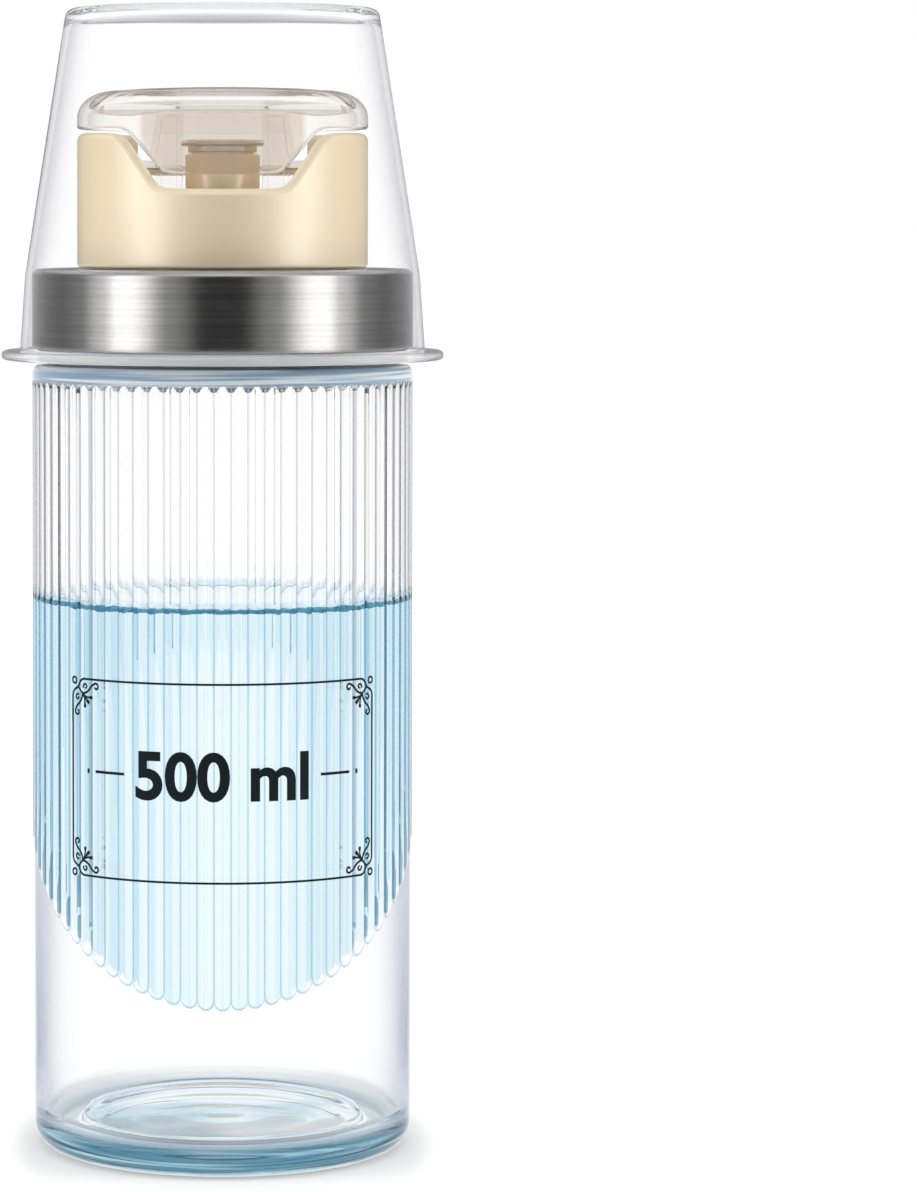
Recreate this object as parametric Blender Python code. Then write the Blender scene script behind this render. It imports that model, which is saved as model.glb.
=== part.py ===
"""Mouthwash dispenser: ribbed glass bottle, steel-banded pour cap with a weighted flip lid, and a
measuring cup upside down over the cap.

Metres, +Z up. The origin is the centre of the base, and the pour notch faces -Y.
"""
import math

import bmesh
import bpy
from mathutils import Matrix, Vector

# Fits and mesh steps
SEAT_GAP = 0.0003
PIN_CLEARANCE = 0.00015
SLIDE_GAP = 0.0004
OVERRUN = 0.004
EMBED = 0.0006
MERGE_DISTANCE = 0.000001
WIDE_STEPS = 48
SMALL_STEPS = 20
FILLET_STEPS = 2
LARGE_FILLET = 0.0035
THREAD_TURN_STEPS = 24
THREAD_SKEW = math.radians(1.25)
SHARP_ANGLE = math.radians(35)
FULL_TURN = math.tau
QUARTER_TURN = math.pi / 2

# Bottle
BODY_RADIUS = 0.0375
BODY_HEIGHT = 0.1543
GLASS_WALL = 0.0026
BASE_THICKNESS = 0.0051
BASE_FILLET = 0.005
FLOOR_FILLET = 0.004
PUNT_INSET = 0.0115
PUNT_DEPTH = 0.0015
SHOULDER_FILLET = 0.0015
SHOULDER_SLOPE = 0.003
RIB_COUNT = 72
RIB_DEPTH = 0.0007
RIB_FADE = 0.0016
RIB_TOP_DROP = 0.003
RIB_LOW_FRONT = 0.0325
RIB_LOW_BACK = 0.0947
SHOULDER_WIDTH = 0.0115
NECK_WALL = 0.0035
NECK_HEIGHT = 0.0127
LIP_FILLET = 0.0008

# Thread between neck and cap
THREAD_PITCH = 0.004
THREAD_TURNS = 1.5
THREAD_START = 0.0045
THREAD_HEIGHT = 0.0019
THREAD_ROOT_HALF = 0.0009
THREAD_CREST_HALF = 0.0004
THREAD_WALL_GAP = 0.0004

# Gasket, seal, cap and steel band
GASKET_THICKNESS = 0.0023
GASKET_INSET = 0.0009
GASKET_NECK_GAP = 0.0009
GASKET_FILLET = 0.0007
SEAL_THICKNESS = 0.0016
SEAL_OVERHANG = 0.0005
CAP_PLATE = 0.0025
CAP_THREAD_WALL = 0.002
CAP_SKIRT_WALL = 0.0018
BAND_SHEET = 0.001
BAND_FILLET = 0.0013

# Spout housing
BAND_LEDGE = 0.0089
HOUSING_HEIGHT = 0.0263
HOUSING_WALL = 0.003
HOUSING_RIM_FILLET = 0.0014
HOUSING_SPIGOT_INSET = 0.0045
DECK_THICKNESS = 0.0015
DECK_FILLET = 0.0015
NOTCH_FLOOR_SHARE = 0.4545
NOTCH_TOP_SHARE = 0.7168
NOTCH_DEPTH = 0.011
NOTCH_FILLET = 0.003
NOTCH_FLARE = 0.006
SLOT_SILL = 0.0017
EAR_THICKNESS = 0.0031
EAR_RADIUS = 0.004

# Nozzle, its seal, steel tip and insert
SPOUT_FRONT_GAP = 0.0031
NOZZLE_RADIUS = 0.0072
NOZZLE_HEIGHT = 0.0205
NOZZLE_WALL = 0.001
NOZZLE_FOOT_RADIUS = 0.0105
NOZZLE_FOOT_HEIGHT = 0.0045
NOZZLE_SPIGOT_INSET = 0.0004
NOZZLE_SEAL_WIDTH = 0.0018
NOZZLE_SEAL_HEIGHT = 0.0009
TIP_SHEET = 0.0006
TIP_LINER_LENGTH = 0.009
TIP_STEP_INSET = 0.00055
TIP_STEP_HEIGHT = 0.0011
TIP_LIP_OVERHANG = 0.0008
TIP_LIP_HEIGHT = 0.0012
TIP_LIP_FILLET = 0.0005
INSERT_HOLE_RADIUS = 0.0026
INSERT_HEIGHT = 0.0035
INSERT_FLOOR = 0.0012
INSERT_WALL = 0.0008

# Lid
LID_GAP = 0.0008
LID_HEIGHT = 0.0081
LID_TOP = 0.0022
LID_WALL = 0.002
LID_FILLET = 0.004
LID_INNER_FILLET = 0.0015
TONGUE_DROP = 0.0091
TONGUE_SIDE_GAP = 0.0009
TONGUE_FILLET = 0.0025
LUG_LENGTH = 0.0085
LUG_WIDTH = 0.004
LUG_HEIGHT = 0.0055

# Lid bracket, hinge pin and its caps
LEG_SKIRT_GAP = 0.0014
PIVOT_DROP = 0.0133
LEG_INNER_SHARE = 0.2797
LEG_WIDTH_SHARE = 0.1923
LEG_DEPTH_SHARE = 0.2622
LEG_BELOW_PIVOT = 0.009
LEG_END_FILLET = 0.0012
LEG_POCKET_WALL = 0.0012
LEG_POCKET_WEB = 0.0005
BRACKET_PLATE = 0.0014
BRACKET_OVERHANG = 0.0008
PIN_RADIUS = 0.0015
LEG_EAR_GAP = 0.0006
PIN_CAP_RADIUS = 0.0024
PIN_CAP_THICKNESS = 0.001

# Weight frame, its lower pin, rollers and counterweight
FRAME_SHARE = 0.6
FRAME_BAR_SHARE = 0.25
FRAME_BAR_DEPTH = 0.0032
FRAME_SLEEVE_RADIUS = 0.0026
FRAME_EYE_RADIUS = 0.0022
FRAME_CROSSBAR = 0.0015
FRAME_BOSS_PROUD = 0.0002
FRAME_WEB = 0.0004
FRAME_FORK = 0.0027
ROLLER_PIN_RADIUS = 0.0011
ROLLER_PIN_OVERHANG = 0.0003
ROLLER_RADIUS = 0.0023
ROLLER_WIDTH = 0.0018
WEIGHT_DEPTH = 0.004
WEIGHT_HUB = 0.0018
WEIGHT_SHOULDER = 0.0028
WEIGHT_OVERHANG = 0.0009
WEIGHT_EDGE = 0.0005
WEIGHT_POINT = 0.0017
WEIGHT_DECK_GAP = 0.0007

# Measuring cup
CUP_HEIGHT = 0.0688
CUP_DROP = 0.002
CUP_WALL = 0.001
CUP_TOP = 0.0015
CUP_SEAT_GAP = 0.00035
CUP_LID_GAP = 0.0011
CUP_FILLET = 0.004
CUP_FLARE = 0.001
CUP_FLANGE_WIDTH = 0.00365
CUP_FLANGE_THICKNESS = 0.0018
CUP_FLANGE_FILLET = 0.0005

# Places worked out from the sizes
RIB_TOP = BODY_HEIGHT - RIB_TOP_DROP
VALLEY_RADIUS = BODY_RADIUS - RIB_DEPTH
SMOOTH_RADIUS = (BODY_RADIUS + VALLEY_RADIUS) / 2
INNER_RADIUS = VALLEY_RADIUS - GLASS_WALL
PUNT_RADIUS = BODY_RADIUS - PUNT_INSET
NECK_RADIUS = BODY_RADIUS - SHOULDER_WIDTH
NECK_TOP = BODY_HEIGHT + NECK_HEIGHT
NECK_BORE = NECK_RADIUS - NECK_WALL
THREAD_CREST = NECK_RADIUS + THREAD_HEIGHT
CAP_BORE = THREAD_CREST + THREAD_WALL_GAP
GASKET_BOTTOM = BODY_HEIGHT + SEAT_GAP
CAP_BOTTOM = GASKET_BOTTOM + GASKET_THICKNESS + SEAT_GAP
SEAL_BOTTOM = NECK_TOP + SEAT_GAP
PLATE_BOTTOM = SEAL_BOTTOM + SEAL_THICKNESS + SEAT_GAP
PLATE_TOP = PLATE_BOTTOM + CAP_PLATE
BAND_UNDER = PLATE_TOP + SEAT_GAP
BAND_TOP = BAND_UNDER + BAND_SHEET
BAND_INNER = BODY_RADIUS - BAND_SHEET
CAP_RADIUS = BAND_INNER - SLIDE_GAP
HOUSING_BOTTOM = BAND_TOP + SEAT_GAP
HOUSING_TOP = HOUSING_BOTTOM + HOUSING_HEIGHT
HOUSING_RADIUS = BODY_RADIUS - BAND_LEDGE
HOUSING_INNER = HOUSING_RADIUS - HOUSING_WALL
HOUSING_SPIGOT = HOUSING_RADIUS - HOUSING_SPIGOT_INSET
DECK_TOP = HOUSING_BOTTOM + DECK_THICKNESS
NOTCH_FLOOR = HOUSING_TOP - NOTCH_DEPTH
NOTCH_FLOOR_HALF = HOUSING_RADIUS * NOTCH_FLOOR_SHARE
NOTCH_TOP_HALF = HOUSING_RADIUS * NOTCH_TOP_SHARE
SPOUT_Y = NOZZLE_FOOT_RADIUS + SPOUT_FRONT_GAP - HOUSING_INNER
NOZZLE_BOTTOM = DECK_TOP + SEAT_GAP
NOZZLE_TOP = NOZZLE_BOTTOM + NOZZLE_HEIGHT
NOZZLE_BORE = NOZZLE_RADIUS - NOZZLE_WALL
NOZZLE_SPIGOT = NOZZLE_RADIUS - NOZZLE_SPIGOT_INSET
LID_BOTTOM = HOUSING_TOP + LID_GAP
LID_CROWN = LID_BOTTOM + LID_HEIGHT
LID_UNDER = LID_CROWN - LID_TOP
LID_INNER = HOUSING_RADIUS - LID_WALL
TONGUE_BOTTOM = LID_BOTTOM - TONGUE_DROP
PIVOT_Z = LID_UNDER - PIVOT_DROP
LEG_INNER = HOUSING_RADIUS * LEG_INNER_SHARE
LEG_OUTER = LEG_INNER + HOUSING_RADIUS * LEG_WIDTH_SHARE
LEG_DEPTH = HOUSING_RADIUS * LEG_DEPTH_SHARE
PLATE_HALF = LEG_OUTER + BRACKET_OVERHANG
LEG_BACK = math.sqrt((LID_INNER - LEG_SKIRT_GAP) ** 2 - PLATE_HALF ** 2)
PIVOT_Y = LEG_BACK - LEG_DEPTH / 2
LEG_BOTTOM = PIVOT_Z - LEG_BELOW_PIVOT
BRACKET_TOP = LID_UNDER - SEAT_GAP
EAR_INNER = LEG_OUTER + LEG_EAR_GAP
EAR_OUTER = EAR_INNER + EAR_THICKNESS
PIN_CAP_INNER = EAR_OUTER + SEAT_GAP
PIN_HALF_LENGTH = PIN_CAP_INNER + PIN_CAP_THICKNESS
SLOT_HALF = PIN_HALF_LENGTH + SLIDE_GAP
WEIGHT_LENGTH = WEIGHT_SHOULDER + WEIGHT_EDGE + WEIGHT_POINT
ROLLER_PIN_Z = DECK_TOP + WEIGHT_DECK_GAP + WEIGHT_LENGTH
FRAME_HALF_WIDTH = LEG_INNER * FRAME_SHARE
ROLLER_INNER = FRAME_HALF_WIDTH + SEAT_GAP
ROLLER_OUTER = ROLLER_INNER + ROLLER_WIDTH
ROLLER_PIN_HALF = ROLLER_OUTER + ROLLER_PIN_OVERHANG
FORK_HALF = FRAME_HALF_WIDTH - LEG_INNER * FRAME_BAR_SHARE
CUP_RIM = CAP_BOTTOM - CUP_DROP
CUP_CEILING = CUP_RIM + CUP_HEIGHT
CUP_SEAT_Z = BAND_TOP - BAND_FILLET
CUP_SEAT_RADIUS = BODY_RADIUS + CUP_SEAT_GAP + CUP_WALL
CUP_TOP_RADIUS = HOUSING_RADIUS + CUP_LID_GAP + CUP_WALL


def clear_scene():
    """Remove what the file holds before the model is made."""
    for old in list(bpy.data.objects):
        bpy.data.objects.remove(old, do_unlink=True)


def finish(name, colour, roughness, metallic, alpha):
    """Plain material of one sub-part."""
    material = bpy.data.materials.new(name)
    material.use_nodes = True
    shader = material.node_tree.nodes["Principled BSDF"]
    shader.inputs["Base Color"].default_value = (*colour, 1)
    shader.inputs["Roughness"].default_value = roughness
    shader.inputs["Metallic"].default_value = metallic
    shader.inputs["Alpha"].default_value = alpha
    return material


def rounded(corners):
    """Outline points, with an arc in place of each (u, v, radius) corner that has a radius."""
    points = []
    count = len(corners)
    for index, (u, v, radius) in enumerate(corners):
        here = Vector((u, v))
        if not radius:
            points.append(here)
            continue
        before = Vector(corners[index - 1][:2]) - here
        after = Vector(corners[(index + 1) % count][:2]) - here
        half = before.angle(after) / 2
        reach = min(radius / math.tan(half), before.length / 2, after.length / 2)
        start = here + before.normalized() * reach
        end = here + after.normalized() * reach
        middle = (before.normalized() + after.normalized()).normalized()
        centre = here + middle * (reach / math.cos(half))
        sweep = (start - centre).angle_signed(end - centre)
        steps = FILLET_STEPS if radius < LARGE_FILLET else 2 * FILLET_STEPS
        for step in range(steps + 1):
            turn = Matrix.Rotation(-sweep * step / steps, 2)
            points.append(centre + turn @ (start - centre))
    return points


def turned(outline, steps):
    """Round solid about Z from an outline of (radius, z) points; it may start and end on the axis."""
    bm = bmesh.new()
    verts = [bm.verts.new((point[0], 0, point[1])) for point in outline]
    for first, second in zip(verts, verts[1:] + verts[:1]):
        if first.co.x or second.co.x:
            bm.edges.new((first, second))
    bmesh.ops.spin(bm, geom=bm.verts[:] + bm.edges[:], cent=(0, 0, 0), axis=(0, 0, 1),
                   dvec=(0, 0, 0), angle=FULL_TURN, steps=steps, use_merge=True)
    bmesh.ops.remove_doubles(bm, verts=bm.verts[:], dist=MERGE_DISTANCE)
    bmesh.ops.recalc_face_normals(bm, faces=bm.faces[:])
    return bm


def rod(radius, from_x, to_x, y, z):
    """Round rod along X."""
    bm = turned([(0, from_x), (radius, from_x), (radius, to_x), (0, to_x)], SMALL_STEPS)
    bmesh.ops.rotate(bm, cent=(0, 0, 0), matrix=Matrix.Rotation(QUARTER_TURN, 3, "Y"), verts=bm.verts[:])
    bmesh.ops.translate(bm, vec=(0, y, z), verts=bm.verts[:])
    return bm


def ring_on_rod(radius, bore, from_x, to_x, y, z):
    """Round sleeve along X with a bore."""
    outline = [(bore, from_x), (radius, from_x), (radius, to_x), (bore, to_x)]
    bm = turned(outline, SMALL_STEPS)
    bmesh.ops.rotate(bm, cent=(0, 0, 0), matrix=Matrix.Rotation(QUARTER_TURN, 3, "Y"), verts=bm.verts[:])
    bmesh.ops.translate(bm, vec=(0, y, z), verts=bm.verts[:])
    return bm


def prism(outline, low, high, across):
    """Solid of an XZ outline drawn out along Y, or of a YZ outline drawn out along X."""
    bm = bmesh.new()
    if across == "Y":
        verts = [bm.verts.new((point[0], low, point[1])) for point in outline]
        travel = (0, high - low, 0)
    else:
        verts = [bm.verts.new((low, point[0], point[1])) for point in outline]
        travel = (high - low, 0, 0)
    grown = bmesh.ops.extrude_face_region(bm, geom=[bm.faces.new(verts)])
    moved = [item for item in grown["geom"] if isinstance(item, bmesh.types.BMVert)]
    bmesh.ops.translate(bm, vec=travel, verts=moved)
    bmesh.ops.recalc_face_normals(bm, faces=bm.faces[:])
    return bm


def block(low, high):
    """Square block between two corners."""
    outline = [(low[0], low[2]), (high[0], low[2]), (high[0], high[2]), (low[0], high[2])]
    return prism(outline, low[1], high[1], "Y")


def add_object(name, bm, material, pivot):
    """Object of a finished bmesh, whose origin is its pivot's place."""
    mesh = bpy.data.meshes.new(name)
    bm.to_mesh(mesh)
    bm.free()
    mesh.transform(Matrix.Translation(-pivot.location))
    mesh.materials.append(material)
    mesh.shade_smooth()
    mesh.set_sharp_from_angle(angle=SHARP_ANGLE)
    added = bpy.data.objects.new(name, mesh)
    bpy.context.collection.objects.link(added)
    added.parent = pivot
    return added


def add_pivot(name, place):
    """Empty on the axis of one moving group."""
    pivot = bpy.data.objects.new(name, None)
    pivot.location = place
    bpy.context.collection.objects.link(pivot)
    return pivot


def combine(target, name, bm, operation):
    """Cut a tool's shape from the target, or join it on."""
    mesh = bpy.data.meshes.new(name)
    bm.to_mesh(mesh)
    bm.free()
    tool = bpy.data.objects.new(name, mesh)
    tool.hide_render = True
    tool.display_type = "WIRE"
    bpy.context.collection.objects.link(tool)
    change = target.modifiers.new(name, "BOOLEAN")
    change.operation = operation
    change.solver = "EXACT"
    change.object = tool
    return tool


def thread_ridge(wall, crest, base_z, first_turn):
    """Helical ridge from a round wall to its crest radius."""
    inward = 1 if crest < wall else -1
    root = wall + inward * EMBED
    bm = bmesh.new()
    section = [(root, -THREAD_ROOT_HALF), (crest, -THREAD_CREST_HALF),
               (crest, THREAD_CREST_HALF), (root, THREAD_ROOT_HALF)]
    verts = [bm.verts.new((radius, 0, base_z + rise)) for radius, rise in section]
    for first, second in zip(verts, verts[1:] + verts[:1]):
        bm.edges.new((first, second))
    steps = round(THREAD_TURN_STEPS * THREAD_TURNS)
    bmesh.ops.spin(bm, geom=bm.verts[:] + bm.edges[:], cent=(0, 0, 0), axis=(0, 0, 1),
                   dvec=(0, 0, THREAD_PITCH / THREAD_TURN_STEPS),
                   angle=FULL_TURN * THREAD_TURNS, steps=steps, use_merge=False)
    bmesh.ops.holes_fill(bm, edges=bm.edges[:], sides=len(section))
    bmesh.ops.recalc_face_normals(bm, faces=bm.faces[:])
    turn = Matrix.Rotation(FULL_TURN * first_turn + THREAD_SKEW, 3, "Z")
    bmesh.ops.rotate(bm, cent=(0, 0, 0), matrix=turn, verts=bm.verts[:])
    return bm


def plain_ring(radius, z, count):
    """Points of a level ring."""
    turns = [FULL_TURN * index / count for index in range(count)]
    return [(radius * math.cos(turn), radius * math.sin(turn), z) for turn in turns]


def rib_foot(turn):
    """Height at which the ribs end: a tilted plane, lowest in front."""
    middle = (RIB_LOW_FRONT + RIB_LOW_BACK) / 2
    swing = (RIB_LOW_BACK - RIB_LOW_FRONT) / 2
    return middle + swing * math.sin(turn)


def rib_ring(crest, valley, lift, level):
    """Ring of two points to each rib, level or at a lift above the ribs' feet."""
    points = []
    for index in range(2 * RIB_COUNT):
        turn = FULL_TURN * index / (2 * RIB_COUNT)
        radius = valley if index % 2 else crest
        z = level if level else rib_foot(turn) + lift
        points.append((radius * math.cos(turn), radius * math.sin(turn), z))
    return points


def glass_rings():
    """Rings of the glass, from the punt up the outside, over the lip and down to the floor."""
    shoulder_inside = BODY_HEIGHT - GLASS_WALL
    foot = [(PUNT_RADIUS, PUNT_DEPTH, 0),
            (PUNT_RADIUS + PUNT_DEPTH, 0, 0),
            (SMOOTH_RADIUS, 0, BASE_FILLET),
            (SMOOTH_RADIUS, RIB_LOW_FRONT, 0)]
    top = [(BODY_RADIUS, RIB_TOP, 0),
           (BODY_RADIUS, BODY_HEIGHT, SHOULDER_FILLET),
           (NECK_RADIUS, BODY_HEIGHT, 0),
           (NECK_RADIUS, NECK_TOP, LIP_FILLET),
           (NECK_BORE, NECK_TOP, LIP_FILLET),
           (NECK_BORE, shoulder_inside, LIP_FILLET),
           (INNER_RADIUS, shoulder_inside - SHOULDER_SLOPE, FLOOR_FILLET),
           (INNER_RADIUS, BASE_THICKNESS, FLOOR_FILLET),
           (0, BASE_THICKNESS, 0)]
    rings = [plain_ring(radius, z, WIDE_STEPS) for radius, z in rounded(foot)[:-1]]
    rings.append(rib_ring(SMOOTH_RADIUS, SMOOTH_RADIUS, 0, 0))
    rings.append(rib_ring(BODY_RADIUS, VALLEY_RADIUS, RIB_FADE, 0))
    rings.append(rib_ring(BODY_RADIUS, VALLEY_RADIUS, 0, RIB_TOP - RIB_FADE))
    rings.append(rib_ring(BODY_RADIUS, BODY_RADIUS, 0, RIB_TOP))
    rings += [plain_ring(radius, z, WIDE_STEPS) for radius, z in rounded(top)[1:-1]]
    return rings


def stitch(bm, lower, upper):
    """Faces between two rings, where one may have a whole multiple of the other's points."""
    fine, coarse = (upper, lower) if len(upper) >= len(lower) else (lower, upper)
    share = len(fine) // len(coarse)
    for index, corner in enumerate(fine):
        near = coarse[(index + share // 2) // share % len(coarse)]
        far = coarse[(index + 1 + share // 2) // share % len(coarse)]
        following = fine[(index + 1) % len(fine)]
        corners = [corner, following, near] if near == far else [corner, following, far, near]
        bm.faces.new(corners)


def make_bottle(material, pivot):
    """Ribbed glass bottle with a threaded neck."""
    bm = bmesh.new()
    rings = [[bm.verts.new(point) for point in ring] for ring in glass_rings()]
    for lower, upper in zip(rings, rings[1:]):
        stitch(bm, lower, upper)
    for end in (rings[0], rings[-1]):
        bm.faces.new(end)
    bmesh.ops.recalc_face_normals(bm, faces=bm.faces[:])
    bottle = add_object("bottle", bm, material, pivot)
    ridge = thread_ridge(NECK_RADIUS, THREAD_CREST, BODY_HEIGHT + THREAD_START, 0)
    combine(bottle, "neck_thread", ridge, "UNION")


def make_gasket(material, pivot):
    """Clear ring on the glass shoulder."""
    outer = BODY_RADIUS - GASKET_INSET
    inner = THREAD_CREST + GASKET_NECK_GAP
    top = GASKET_BOTTOM + GASKET_THICKNESS
    outline = rounded([(inner, GASKET_BOTTOM, 0), (outer, GASKET_BOTTOM, GASKET_FILLET),
                       (outer, top, GASKET_FILLET), (inner, top, 0)])
    add_object("shoulder_gasket", turned(outline, WIDE_STEPS), material, pivot)


def make_neck_seal(material, pivot):
    """Flat liner ring on the bottle's lip."""
    inner = NECK_BORE - SEAL_OVERHANG
    outer = NECK_RADIUS + SEAL_OVERHANG
    top = SEAL_BOTTOM + SEAL_THICKNESS
    outline = [(inner, SEAL_BOTTOM), (outer, SEAL_BOTTOM), (outer, top), (inner, top)]
    add_object("neck_seal", turned(outline, WIDE_STEPS), material, pivot)


def spout_cutter(radius, low, high):
    """Round cutter on the spout's axis."""
    bm = turned([(0, low), (radius, low), (radius, high), (0, high)], SMALL_STEPS)
    bmesh.ops.translate(bm, vec=(0, SPOUT_Y, 0), verts=bm.verts[:])
    return bm


def make_inner_cap(material, pivot):
    """Moulded cap with the inside thread, a plain outer skirt and a seat for the nozzle's seal."""
    thread_outer = CAP_BORE + CAP_THREAD_WALL
    skirt_inner = CAP_RADIUS - CAP_SKIRT_WALL
    outline = [(0, PLATE_BOTTOM), (CAP_BORE, PLATE_BOTTOM), (CAP_BORE, CAP_BOTTOM),
               (thread_outer, CAP_BOTTOM), (thread_outer, PLATE_BOTTOM), (skirt_inner, PLATE_BOTTOM),
               (skirt_inner, CAP_BOTTOM), (CAP_RADIUS, CAP_BOTTOM), (CAP_RADIUS, PLATE_TOP),
               (0, PLATE_TOP)]
    cap = add_object("inner_cap", turned(outline, WIDE_STEPS), material, pivot)
    ridge = thread_ridge(CAP_BORE, NECK_RADIUS + THREAD_WALL_GAP, BODY_HEIGHT + THREAD_START, 1 / 2)
    combine(cap, "cap_thread", ridge, "UNION")
    hole = spout_cutter(NOZZLE_BORE, PLATE_BOTTOM - OVERRUN, PLATE_TOP + OVERRUN)
    combine(cap, "cap_hole", hole, "DIFFERENCE")
    seat_radius = NOZZLE_BORE + NOZZLE_SEAL_WIDTH + SEAT_GAP + SEAT_GAP
    seat = spout_cutter(seat_radius, PLATE_TOP - NOZZLE_SEAL_HEIGHT, PLATE_TOP + OVERRUN)
    combine(cap, "seal_seat", seat, "DIFFERENCE")


def make_band(material, pivot):
    """Brushed steel sleeve with a flat top ring."""
    hole = HOUSING_SPIGOT + SLIDE_GAP
    outline = rounded([(BAND_INNER, CAP_BOTTOM, 0), (BODY_RADIUS, CAP_BOTTOM, 0),
                       (BODY_RADIUS, BAND_TOP, BAND_FILLET), (hole, BAND_TOP, 0),
                       (hole, BAND_UNDER, 0), (BAND_INNER, BAND_UNDER, 0)])
    add_object("steel_band", turned(outline, WIDE_STEPS), material, pivot)


def notch_outline(inset, floor, shoulder, fillet):
    """Front outline of the pour notch, drawn in by an inset on each side and flared at its shoulders."""
    slope = (NOTCH_TOP_HALF - NOTCH_FLOOR_HALF) / NOTCH_DEPTH
    level = shoulder + SEAT_GAP
    floor_half = NOTCH_FLOOR_HALF + slope * (floor - NOTCH_FLOOR) - inset
    top_half = NOTCH_TOP_HALF + slope * (level - HOUSING_TOP) - inset
    flare = top_half + NOTCH_FLARE
    right = [(floor_half, floor, fillet), (top_half, level, fillet), (flare, level, 0),
             (flare, shoulder + OVERRUN, 0)]
    left = [(-u, v, radius) for u, v, radius in reversed(right)]
    return rounded(right + left)


def ear(side):
    """One ear that holds the hinge pin, standing on the deck."""
    foot = DECK_TOP - EMBED
    outline = rounded([(PIVOT_Y - EAR_RADIUS, foot, 0), (PIVOT_Y + EAR_RADIUS, foot, 0),
                       (PIVOT_Y + EAR_RADIUS, PIVOT_Z + EAR_RADIUS, EAR_RADIUS),
                       (PIVOT_Y - EAR_RADIUS, PIVOT_Z + EAR_RADIUS, EAR_RADIUS)])
    return prism(outline, side * EAR_INNER, side * EAR_OUTER, "X")


def make_housing(material, pivot):
    """Cream collar: pour notch in front, open slot behind, ears for the hinge pin."""
    outline = rounded([(0, BAND_UNDER, 0), (HOUSING_SPIGOT, BAND_UNDER, 0),
                       (HOUSING_SPIGOT, HOUSING_BOTTOM, 0), (HOUSING_RADIUS, HOUSING_BOTTOM, 0),
                       (HOUSING_RADIUS, HOUSING_TOP, HOUSING_RIM_FILLET),
                       (HOUSING_INNER, HOUSING_TOP, HOUSING_RIM_FILLET),
                       (HOUSING_INNER, DECK_TOP, DECK_FILLET), (0, DECK_TOP, 0)])
    housing = add_object("spout_housing", turned(outline, WIDE_STEPS), material, pivot)
    front = -HOUSING_RADIUS - OVERRUN
    notch_back = SPOUT_Y
    opening = notch_outline(0, NOTCH_FLOOR, HOUSING_TOP, NOTCH_FILLET)
    combine(housing, "notch_cut", prism(opening, front, notch_back, "Y"), "DIFFERENCE")
    slot_floor = DECK_TOP + SLOT_SILL
    slot_front = PIVOT_Y - EAR_RADIUS
    slot = block((-SLOT_HALF, slot_front, slot_floor),
                 (SLOT_HALF, HOUSING_RADIUS + OVERRUN, HOUSING_TOP + OVERRUN))
    combine(housing, "slot_cut", slot, "DIFFERENCE")
    for name, side in (("left_ear", -1), ("right_ear", 1)):
        combine(housing, name, ear(side), "UNION")
    bore = rod(PIN_RADIUS + PIN_CLEARANCE, -PIN_CAP_INNER, PIN_CAP_INNER, PIVOT_Y, PIVOT_Z)
    combine(housing, "ear_bore", bore, "DIFFERENCE")
    hole = spout_cutter(NOZZLE_SPIGOT + SEAT_GAP, BAND_UNDER - OVERRUN, DECK_TOP + OVERRUN)
    combine(housing, "nozzle_hole", hole, "DIFFERENCE")


def spout_piece(name, outline, material, pivot):
    """Turned piece on the spout's axis."""
    bm = turned(outline, 3 * SMALL_STEPS // 2)
    bmesh.ops.translate(bm, vec=(0, SPOUT_Y, 0), verts=bm.verts[:])
    add_object(name, bm, material, pivot)


def make_nozzle(material, pivot):
    """Cream spout with a flared foot on the deck and a spigot through it."""
    foot_top = NOZZLE_BOTTOM + NOZZLE_FOOT_HEIGHT
    outline = rounded([(NOZZLE_BORE, BAND_UNDER, 0), (NOZZLE_SPIGOT, BAND_UNDER, 0),
                       (NOZZLE_SPIGOT, NOZZLE_BOTTOM, 0), (NOZZLE_FOOT_RADIUS, NOZZLE_BOTTOM, 0),
                       (NOZZLE_RADIUS, foot_top, NOZZLE_FOOT_HEIGHT), (NOZZLE_RADIUS, NOZZLE_TOP, 0),
                       (NOZZLE_BORE, NOZZLE_TOP, 0)])
    spout_piece("spout_nozzle", outline, material, pivot)


def make_nozzle_seal(material, pivot):
    """Square seal ring in its seat under the nozzle."""
    inner = NOZZLE_BORE + SEAT_GAP
    outer = inner + NOZZLE_SEAL_WIDTH
    low = PLATE_TOP - NOZZLE_SEAL_HEIGHT + SEAT_GAP
    outline = [(inner, low), (outer, low), (outer, PLATE_TOP), (inner, PLATE_TOP)]
    bm = turned(outline, SMALL_STEPS)
    bmesh.ops.translate(bm, vec=(0, SPOUT_Y, 0), verts=bm.verts[:])
    add_object("nozzle_seal", bm, material, pivot)


def make_tip(material, pivot):
    """Steel liner with a stepped, flared lip."""
    liner_outer = NOZZLE_BORE - SEAT_GAP
    bore = liner_outer - TIP_SHEET
    step_radius = NOZZLE_RADIUS - TIP_STEP_INSET
    lip_radius = NOZZLE_RADIUS + TIP_LIP_OVERHANG
    low = NOZZLE_TOP - TIP_LINER_LENGTH
    seat = NOZZLE_TOP + SEAT_GAP
    lip_low = seat + TIP_STEP_HEIGHT
    lip_top = lip_low + TIP_LIP_HEIGHT
    outline = rounded([(bore, low, 0), (liner_outer, low, 0), (liner_outer, seat, 0),
                       (step_radius, seat, 0), (step_radius, lip_low, 0),
                       (lip_radius, lip_low, TIP_LIP_FILLET), (lip_radius, lip_top, TIP_LIP_FILLET),
                       (step_radius, lip_top, 0), (bore, seat, 0)])
    spout_piece("spout_tip", outline, material, pivot)


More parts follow.
